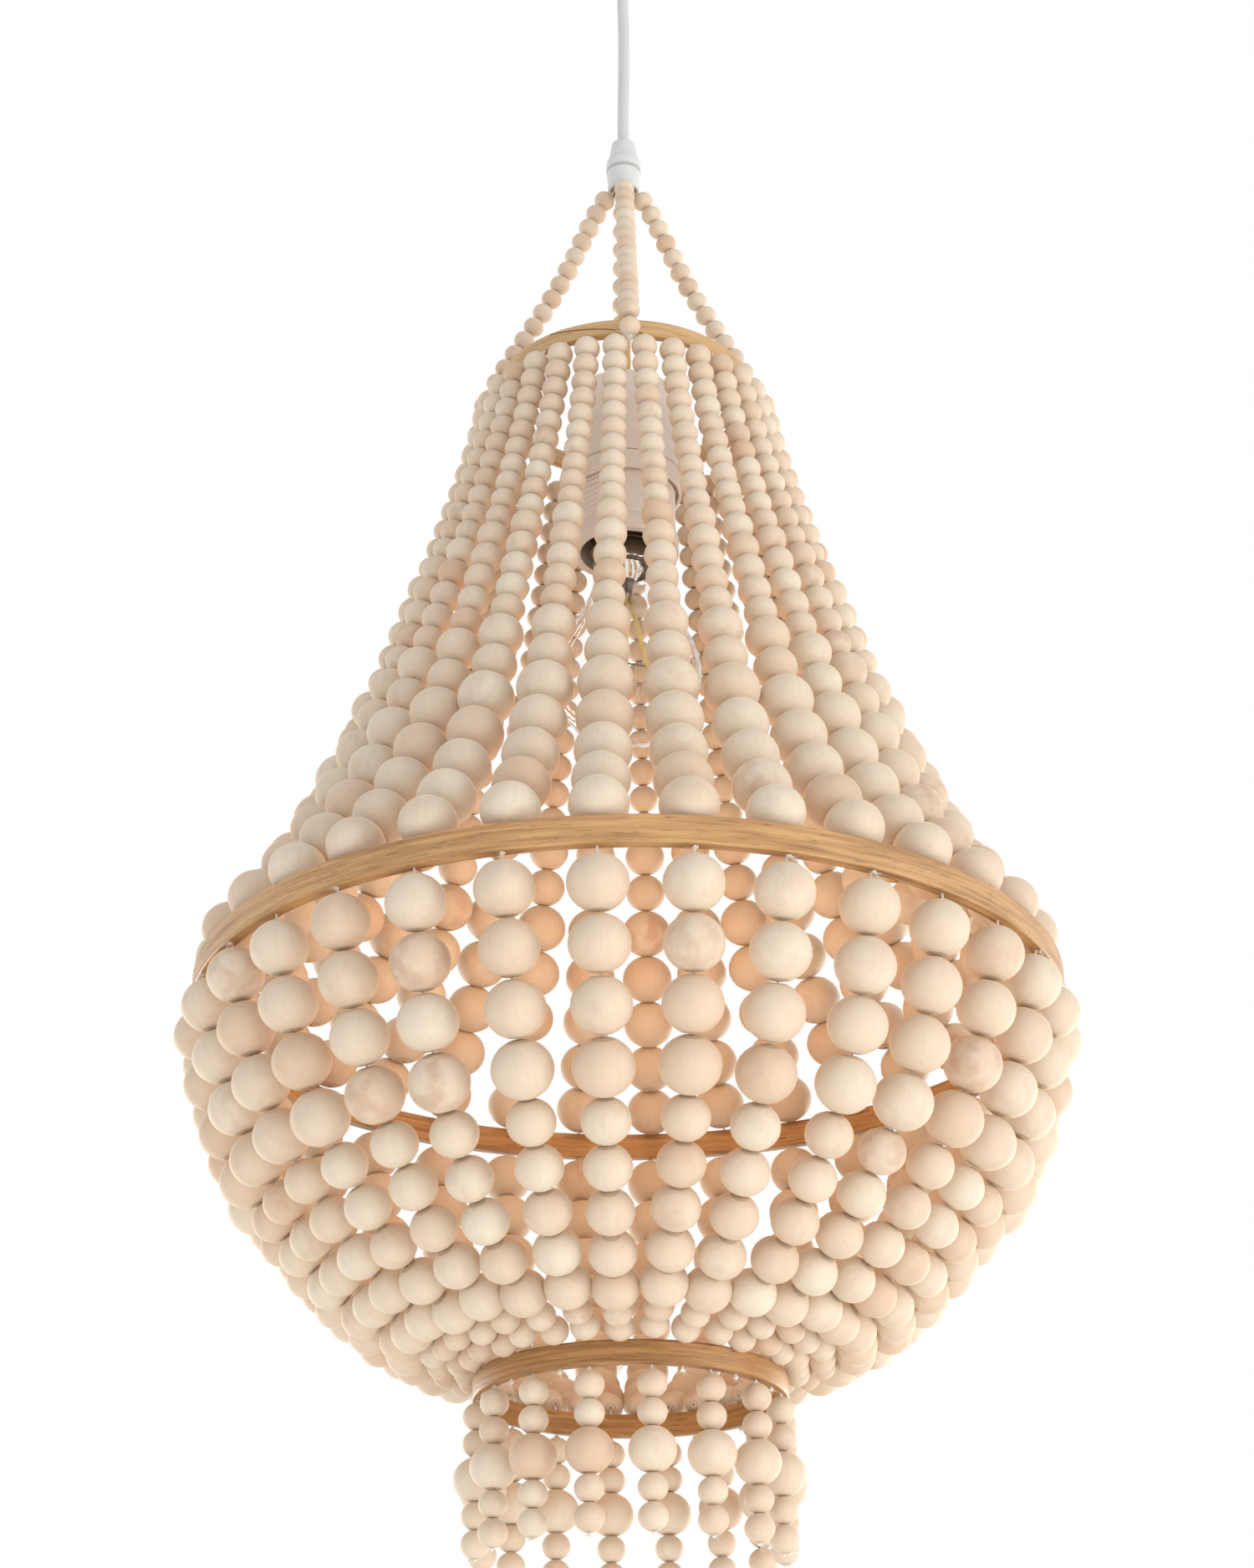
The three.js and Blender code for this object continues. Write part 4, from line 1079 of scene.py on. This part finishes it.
def add_hoops():
    """The three hoops and their scarf lines."""
    hoop_piece("top_bamboo_hoop", "top_hoop", TOP_THICKNESS, top_bamboo, TOP_WAVE)
    hoop_piece("middle_bamboo_hoop", "middle_hoop", MIDDLE_THICKNESS, bamboo, MIDDLE_WAVE)
    hoop_piece("lower_bamboo_hoop", "lower_hoop", LOWER_THICKNESS, lower_bamboo, LOWER_WAVE)
    add_scarf_line("top_scarf_line", "top_hoop", TOP_SCARF)
    add_scarf_line("middle_scarf_line", "middle_hoop", MIDDLE_SCARF)
    add_scarf_line("lower_scarf_line", "lower_hoop", LOWER_SCARF)


def add_grip():
    """Clamping nut with a dashed ring of teeth at its seam, the cup below and the inner flex."""
    low, high = level("cord_grip_nut")
    flare = reach("cord_grip_nut")
    tooth_top = low + NUT_TOOTH_HEIGHT
    shape = bmesh.new()
    profile = [
        (GRIP_BORE_RADIUS, high), *hung(NUT_OUTLINE, high), (flare, high - NUT_FLARE_DROP),
        (flare, tooth_top), (flare, low), (GRIP_BORE_RADIUS, low), (GRIP_BORE_RADIUS, high),
    ]
    spin_profile(shape, profile, 2 * NUT_TEETH)
    ring = [
        face for face in shape.faces
        if low < face.calc_center_median().z < tooth_top and abs(face.normal.z) < 0.1
        and math.hypot(*face.calc_center_median().xy) > GRIP_CUP_END]
    ring.sort(key=lambda face: math.atan2(*face.calc_center_median().xy))
    bmesh.ops.inset_individual(
        shape, faces=ring[::2], thickness=NUT_TOOTH_INSET, depth=-NUT_TOOTH_DEPTH,
        use_even_offset=True)
    smooth_faces(shape)
    nut = new_piece(
        "clamping_nut", shape, "lamp", ["cord_grip_nut"], [abs_plastic])
    nut.data.set_sharp_from_angle(angle=math.radians(SHARP_ANGLE))
    low, high = level("cord_grip_cup")
    cavity_top = low + GRIP_CAVITY_DEPTH
    turned_piece("grip_cup", [
        (GRIP_BORE_RADIUS, high), (GRIP_CUP_TOP, high), (GRIP_CUP_END, low), (GRIP_CAVITY, low),
        (GRIP_CAVITY, cavity_top), (GRIP_BORE_RADIUS, cavity_top), (GRIP_BORE_RADIUS, high),
    ], abs_plastic, "lamp", ["cord_grip_cup"], edge=MOULDED_EDGE)
    add_short_flex("inner_flex", "inner_cord", "lamp", inner_pvc)


def add_short_flex(name, node, body, material):
    """A short straight stretch of flex, as long as its CAD node."""
    low, high = level(node)
    turned_piece(name, [
        (0, low), (CORD_DIAMETER / 2, low), (CORD_DIAMETER / 2, high), (0, high),
    ], material, body, [node], steps=SMALL_STEPS)


def add_holder_cap():
    """The lampholder's domed cap: cable nipple, rounded shoulder and slightly flared wall."""
    low, high = level("holder_cap")
    outer = reach("holder_cap")
    turned_piece("holder_dome", [
        (GRIP_BORE_RADIUS, high), *hung(DOME_OUTSIDE, high), (outer, low),
        (outer - HOLDER_WALL, low), *hung(DOME_INSIDE, high), (GRIP_BORE_RADIUS, high),
    ], holder_plastic, "lamp", ["holder_cap"], ROUND_STEPS, MOULDED_EDGE)


def smooth_step(value):
    """Rises from 0 to 1 with soft ends while the value does."""
    share = min(1.0, max(0.0, value))
    return share * share * (3 - 2 * share)


def add_holder_skirt():
    """Collar with its undercut, threaded body with a plain strip in front and behind, and rim."""
    low, high = level("holder_skirt")
    collar_low = high - COLLAR_HEIGHT
    thread_low = low + RIM_HEIGHT + RIM_RISE
    rows = round((collar_low - thread_low) / HOLDER_THREAD_PITCH * ROWS_PER_TURN)
    profile = [
        (SKIRT_INNER_RADIUS, high), (COLLAR_RADIUS, high), (COLLAR_RADIUS, collar_low),
        (UNDERCUT_RADIUS, collar_low), (UNDERCUT_RADIUS, collar_low + UNDERCUT_DEPTH),
        (SKIRT_RADIUS, collar_low + UNDERCUT_DEPTH),
    ]
    profile += [
        (SKIRT_RADIUS, collar_low + (thread_low - collar_low) * row / rows)
        for row in range(rows + 1)]
    profile += [
        (RIM_RADIUS - RIM_CHAMFER, low + RIM_HEIGHT + RIM_CHAMFER),
        (RIM_RADIUS, low + RIM_HEIGHT - RIM_CHAMFER),
        (RIM_RADIUS, low), (SKIRT_INNER_RADIUS, low), (SKIRT_INNER_RADIUS, high),
    ]
    shape = bmesh.new()
    spin_profile(shape, profile, SKIRT_STEPS)
    for vertex in shape.verts:
        radius = math.hypot(vertex.co.x, vertex.co.y)
        if abs(radius - SKIRT_RADIUS) > RADIUS_SLACK or not thread_low < vertex.co.z < collar_low:
            continue
        azimuth = math.atan2(vertex.co.x, -vertex.co.y)
        from_strip = min(abs(azimuth), math.pi - abs(azimuth)) - PLAIN_STRIP_HALF_ANGLE
        side = smooth_step(from_strip / PLAIN_STRIP_FADE)
        ends = thread_ends(vertex.co.z, thread_low, collar_low)
        turn_phase = math.tau * vertex.co.z / HOLDER_THREAD_PITCH + azimuth
        groove = HOLDER_THREAD_DEPTH * (0.5 - 0.5 * math.cos(turn_phase)) * side * ends
        vertex.co.x *= (radius - groove) / radius
        vertex.co.y *= (radius - groove) / radius
    smooth_faces(shape)
    skirt = new_piece(
        "holder_threaded_skirt", shape, "lamp", ["holder_skirt"], [holder_plastic])
    soften(skirt, TURNED_EDGE, THREAD_SHARP_ANGLE)


def thread_ends(height, low, high):
    """How deep a thread is at a height, from 0 to 1, as it runs out at both its ends."""
    return smooth_step((high - height) / THREAD_FADE) * smooth_step((height - low) / THREAD_FADE)


def lamp_thread(target, low, high, depth, outward):
    """Presses a rounded lamp thread into the walls between two levels of a turned shape."""
    for vertex in target.verts:
        if not low - LEVEL_SLACK <= vertex.co.z <= high + LEVEL_SLACK:
            continue
        radius = math.hypot(vertex.co.x, vertex.co.y)
        if radius < SHELL_INNER_RADIUS / 2:
            continue
        azimuth = math.atan2(vertex.co.y, vertex.co.x)
        wave = 0.5 - 0.5 * math.cos(math.tau * vertex.co.z / LAMP_THREAD_PITCH - azimuth)
        ends = thread_ends(vertex.co.z, low, high)
        share = (radius + outward * depth * wave * ends) / radius
        vertex.co.x *= share
        vertex.co.y *= share


def levels_between(low, high, pitch):
    """Rows from low to high that are close enough to draw a thread of this pitch."""
    rows = max(1, round((high - low) / pitch * ROWS_PER_TURN))
    return [low + (high - low) * row / rows for row in range(rows + 1)]


def add_holder_inside():
    """The insert, and the rolled threaded shell that takes the bulb."""
    low, high = level("holder_insert")
    radius = SKIRT_INNER_RADIUS - CORE_CLEARANCE
    turned_piece("holder_core", [
        (0, high), (radius - CORE_STEP, high), (radius - CORE_STEP, high - CORE_STEP_DROP),
        (radius, high - CORE_STEP_DROP), (radius, low), (0, low),
    ], holder_plastic, "lamp", ["holder_insert"])
    low, high = level("threaded_shell")
    rows = levels_between(low, high, LAMP_THREAD_PITCH)
    profile = [(SHELL_INNER_RADIUS, row) for row in rows]
    profile += [(SHELL_INNER_RADIUS + SHELL_WALL, row) for row in reversed(rows)]
    profile.append(profile[0])
    shape = bmesh.new()
    spin_profile(shape, profile, THREAD_STEPS)
    lamp_thread(shape, low, high, SHELL_THREAD_DEPTH, 1)
    smooth_faces(shape)
    shell = new_piece(
        "rolled_shell", shape, "lamp", ["threaded_shell"], [shade_darkened_nickel])
    shell.data.set_sharp_from_angle(angle=math.radians(THREAD_SHARP_ANGLE))


def add_bulb_cap():
    """The bulb's rolled cap, its black insulator and the solder tip."""
    low, high = level("bulb_cap")
    thread_low, thread_high = low + CAP_PLAIN_HEIGHT, low + CAP_THREAD_HEIGHT
    rows = levels_between(thread_low, thread_high, LAMP_THREAD_PITCH)
    shape = bmesh.new()
    profile = [(0, low), (CAP_RADIUS - CAP_CHAMFER, low), (CAP_RADIUS, low + CAP_CHAMFER)]
    profile += [(CAP_RADIUS, row) for row in rows]
    profile += [(radius, thread_high + rise) for radius, rise in CAP_SHOULDER]
    spin_profile(shape, profile, THREAD_STEPS)
    lamp_thread(shape, thread_low, thread_high, CAP_THREAD_DEPTH, -1)
    smooth_faces(shape)
    cap = new_piece("bulb_screw_cap", shape, "bulb", ["bulb_cap"], [shade_darkened_nickel])
    cap.data.set_sharp_from_angle(angle=math.radians(THREAD_SHARP_ANGLE))
    foot = [(radius, thread_high + rise) for radius, rise in INSULATOR_FOOT]
    turned_piece(
        "bulb_insulator", foot + hung(INSULATOR_HEAD, high), black_glass, "bulb", ["bulb_cap"],
        steps=INSULATOR_STEPS)
    turned_piece(
        "bulb_tip", hung(SOLDER_TIP, high), solder, "bulb", ["bulb_cap"],
        steps=STEM_STEPS, edge=METAL_EDGE)


def add_bulb_glass():
    """The bulb's clear globe and the glass stem inside it, and the filaments on the stem."""
    low, high = level("bulb_glass")
    envelope = envelope_side(high, low, 0) + envelope_side(high, low, BULB_WALL)[::-1]
    envelope.append(envelope[0])
    shape = bmesh.new()
    spin_profile(shape, envelope, GLOBE_STEPS)
    smooth_faces(shape)
    new_piece("bulb_envelope", shape, "bulb", ["bulb_glass"], [glass])
    top = level("filament_stem")[1]
    end = top - STEM_HEIGHT
    turned_piece("bulb_stem", [
        (0, top), (STEM_FOOT, top), *hung(STEM_SHOULDER, top),
        (STEM_RADIUS * 0.8, end + STEM_TIP_RISE), (STEM_RADIUS * 0.5, end), (0, end),
    ], glass, "bulb", ["filament_stem"], steps=STEM_STEPS)
    add_filaments(end)


def add_filaments(stem_end):
    """Four leaning filament sticks round the stem, with the wires that hold them."""
    lean = math.asin((FILAMENT_END_RING - FILAMENT_TOP_RING) / FILAMENT_LENGTH)
    sticks, wires = bmesh.new(), bmesh.new()
    for number in range(FILAMENT_COUNT):
        azimuth = math.tau * number / FILAMENT_COUNT
        upper = polar(FILAMENT_TOP_RING, azimuth, stem_end + FILAMENT_OVERLAP)
        lower = polar(FILAMENT_END_RING, azimuth, upper.z - FILAMENT_LENGTH * math.cos(lean))
        wire_top = polar(WIRE_RING, azimuth, stem_end + WIRE_TOP_RISE)
        wire_end = polar(WIRE_RING, azimuth, lower.z + WIRE_END_RISE)
        add_rod(sticks, upper, lower, FILAMENT_RADIUS)
        add_rod(wires, wire_top, upper, WIRE_RADIUS)
        add_rod(wires, lower, wire_end, WIRE_RADIUS)
    smooth_faces(sticks)
    smooth_faces(wires)
    new_piece("bulb_filaments", sticks, "bulb", ["filament_stem"], [phosphor])
    new_piece("filament_wires", wires, "bulb", ["filament_stem"], [support_wire])


def envelope_side(top, bottom, inset):
    """One wall of the globe bulb's profile, from its neck down to the lowest point."""
    radius = BULB_RADIUS - inset
    centre = bottom + BULB_RADIUS
    neck = BULB_NECK - inset
    shoulder_radius = radius * math.cos(BULB_SHOULDER)
    shoulder_level = centre + radius * math.sin(BULB_SHOULDER)
    guide = [
        Vector((neck + share * (shoulder_radius - neck), 0, top + drop * (shoulder_level - top)))
        for drop, share in BULB_NECK_SHARES]
    guide.append(Vector((shoulder_radius, 0, shoulder_level)))
    side = [(point.x, point.z) for point in smooth_route(guide, BULB_NECK_STEPS)]
    for row in range(1, BULB_ROWS):
        angle = BULB_SHOULDER - (BULB_SHOULDER + math.pi / 2) * row / BULB_ROWS
        side.append((radius * math.cos(angle), centre + radius * math.sin(angle)))
    side.append((0, centre - radius))
    return side


def add_rod(target, start, end, radius):
    """A round rod between two points."""
    made = bmesh.ops.create_cone(
        target, cap_ends=True, segments=12, radius1=radius, radius2=radius,
        depth=(end - start).length)["verts"]
    aim = (end - start).to_track_quat("Z", "Y").to_matrix().to_4x4()
    bmesh.ops.transform(target, matrix=Matrix.Translation((start + end) / 2) @ aim, verts=made)


def add_canopy():
    """The ceiling cup, with the ball seat in its neck."""
    low, high = level("ceiling_cup")
    ball_level = low + BALL_SEAT_DEPTH
    seat_radius = BALL_RADIUS + BALL_CLEARANCE
    neck_top = ball_level + seat_radius
    lowest = math.asin((ball_level - low) / seat_radius)
    seat = [
        (seat_radius * math.cos(angle), ball_level + seat_radius * math.sin(angle))
        for angle in (-lowest * step / SEAT_ROWS for step in range(SEAT_ROWS + 1))]
    turned_piece("ceiling_canopy", [
        (CUP_RADIUS - CUP_WALL, high), (CUP_RADIUS - CUP_WALL, -CUP_STRAIGHT),
        (CUP_NECK_RADIUS - CUP_WALL / 2, neck_top + CUP_WALL), (seat_radius, neck_top), *seat,
        (CUP_NECK_RADIUS, low), (CUP_NECK_RADIUS + CUP_WALL, neck_top),
        (CUP_RADIUS, -CUP_STRAIGHT), (CUP_RADIUS, high), (CUP_RADIUS - CUP_WALL, high),
    ], abs_plastic, "ceiling_fitting", ["ceiling_cup"], ROUND_STEPS, CUP_EDGE)


def add_strain_relief():
    """The strain relief: a ball, and a ribbed sleeve that bends between it and the flex."""
    low, high = level("strain_relief")
    ball_centre = high - BALL_RADIUS
    neck_angle = math.acos(RELIEF_TOP_RADIUS / BALL_RADIUS)
    profile = [(0, high)]
    for row in range(1, BALL_ROWS + 1):
        angle = math.pi / 2 - (math.pi / 2 + neck_angle) * row / BALL_ROWS
        profile.append(
            (BALL_RADIUS * math.cos(angle), ball_centre + BALL_RADIUS * math.sin(angle)))
    sleeve_top = profile[-1][1]
    sleeve = sleeve_top - low
    for rib in range(RELIEF_RIBS):
        start, end = [(rib + share) / RELIEF_RIBS for share in RIB_GROOVE_SHARES]
        for share, inward in (
                (start, 0), (start, RIB_GROOVE_DEPTH), (end, RIB_GROOVE_DEPTH), (end, 0)):
            radius = RELIEF_TOP_RADIUS + (RELIEF_END_RADIUS - RELIEF_TOP_RADIUS) * share
            profile.append((radius - inward, sleeve_top - sleeve * share * RELIEF_RIBBED_SHARE))
    profile += [
        (RELIEF_END_RADIUS, low + RELIEF_CHAMFER), (RELIEF_END_RADIUS - RELIEF_CHAMFER, low),
        (0, low),
    ]
    shape = bmesh.new()
    spin_profile(shape, profile, RELIEF_STEPS)
    smooth_faces(shape)
    relief = new_piece(
        "ribbed_strain_relief", shape, None, ["strain_relief"], [abs_plastic])
    relief.data.set_sharp_from_angle(angle=math.radians(SHARP_ANGLE))
    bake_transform(relief)


def add_screws():
    """The two screws that hold the cup to the bracket from the sides."""
    for side, name in ((1, "right"), (-1, "left")):
        start = reach("ceiling_cup") + SEAT
        head = [
            (SCREW_HEAD_RADIUS * width, start + SCREW_HEAD_HEIGHT * height)
            for width, height in SCREW_HEAD_SHARES]
        shape = bmesh.new()
        spin_profile(shape, [
            (0, start - SCREW_REACH), (SCREW_SHANK_RADIUS, start - SCREW_REACH),
            (SCREW_SHANK_RADIUS, start), *head,
        ], SMALL_STEPS)
        aim = Matrix.Translation((0, 0, -SCREW_DROP)) @ Matrix.Rotation(side * math.pi / 2, 4, "Y")
        bmesh.ops.transform(shape, matrix=aim, verts=shape.verts[:])
        smooth_faces(shape)
        screw = new_piece(
            f"pan_head_screw_{name}", shape, "ceiling_fitting", [f"cup_screw_{name}"],
            [zinc])
        soften(screw, METAL_EDGE)


# The pieces, in the order that their random draws need
add_string_pairs()
add_fringe()
add_hangers()
add_hoops()
add_grip()
add_holder_cap()
add_holder_skirt()
add_holder_inside()
add_bulb_cap()
add_bulb_glass()
add_canopy()
add_strain_relief()
add_short_flex("cord_end", "cord_tail", "ceiling_fitting", pvc)
add_screws()

# World: an even fill on the pieces, and plain white for the camera, reflections and glass
world = bpy.data.worlds.new("studio")
bpy.context.scene.world = world
world.use_nodes = True
world_tree = world.node_tree
world_tree.nodes.clear()
rays = add_node(world_tree, "ShaderNodeLightPath")
glassy = add_node(world_tree, "ShaderNodeMath", {"operation": "MAXIMUM"}, {
    0: rays.outputs["Is Glossy Ray"], 1: rays.outputs["Is Transmission Ray"]})
seen = add_node(world_tree, "ShaderNodeMath", {"operation": "MAXIMUM"}, {
    0: rays.outputs["Is Camera Ray"], 1: glassy.outputs[0]})
fill = add_node(world_tree, "ShaderNodeBackground", inputs={
    "Color": linear("#FFFFFF"), "Strength": WORLD_FILL})
white = add_node(world_tree, "ShaderNodeBackground", inputs={
    "Color": linear("#FFFFFF"), "Strength": 1.0})
chosen = add_node(world_tree, "ShaderNodeMixShader", inputs={
    0: seen.outputs[0], 1: fill.outputs[0], 2: white.outputs[0]})
add_node(world_tree, "ShaderNodeOutputWorld", inputs={"Surface": chosen.outputs[0]})


def add_softbox(name, place, size, watts, code):
    """A square softbox at a place, turned towards the lamp and unseen itself."""
    lamp_data = bpy.data.lights.new(name, "AREA")
    lamp_data.size = size
    lamp_data.energy = watts
    lamp_data.color = linear(code)[:3]
    lamp = bpy.data.objects.new(name, lamp_data)
    bpy.context.scene.collection.objects.link(lamp)
    aim = (LAMP_MIDDLE - place).to_track_quat("-Z", "Y").to_matrix().to_4x4()
    lamp.matrix_world = Matrix.Translation(place) @ aim
    lamp.visible_camera = False


for softbox in SOFTBOXES:
    add_softbox(*softbox)

glow_data = bpy.data.lights.new("inner_glow", "POINT")
glow_data.energy = GLOW_WATTS
glow_data.color = linear("#FFC690")[:3]
glow_data.shadow_soft_size = GLOW_RADIUS
glow = bpy.data.objects.new("inner_glow", glow_data)
bpy.context.scene.collection.objects.link(glow)
glow.matrix_world = Matrix.Translation(GLOW_PLACE)
glow.visible_camera = False
glow.visible_glossy = False
glow.visible_transmission = False

# Floor: pale and plain, far below the lamp
floor_shape = bmesh.new()
bmesh.ops.create_grid(floor_shape, x_segments=1, y_segments=1, size=FLOOR_SIZE / 2)
floor_mesh = bpy.data.meshes.new("floor")
floor_shape.to_mesh(floor_mesh)
floor_shape.free()
floor_mesh.transform(Matrix.Translation((0, 0, FLOOR_LEVEL)))
floor = bpy.data.objects.new("floor", floor_mesh)
bpy.context.scene.collection.objects.link(floor)
floor_material, floor_tree = new_material("pale_floor")
floor_shader = add_node(floor_tree, "ShaderNodeBsdfPrincipled", inputs={
    "Base Color": linear("#F4F4F2"), "Roughness": 0.8})
finish_material(floor_tree, floor_shader)
floor.data.materials.append(floor_material)

bpy.context.scene.view_settings.view_transform = "Standard"

# CAD solids that stay as they are, each with its material
for node, material in {
    "ceiling_bracket": zinc, "terminal_block": abs_plastic, "centre_contact": brass,
}.items():
    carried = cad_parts[node]
    carried.data.materials.clear()
    carried.data.materials.append(material)
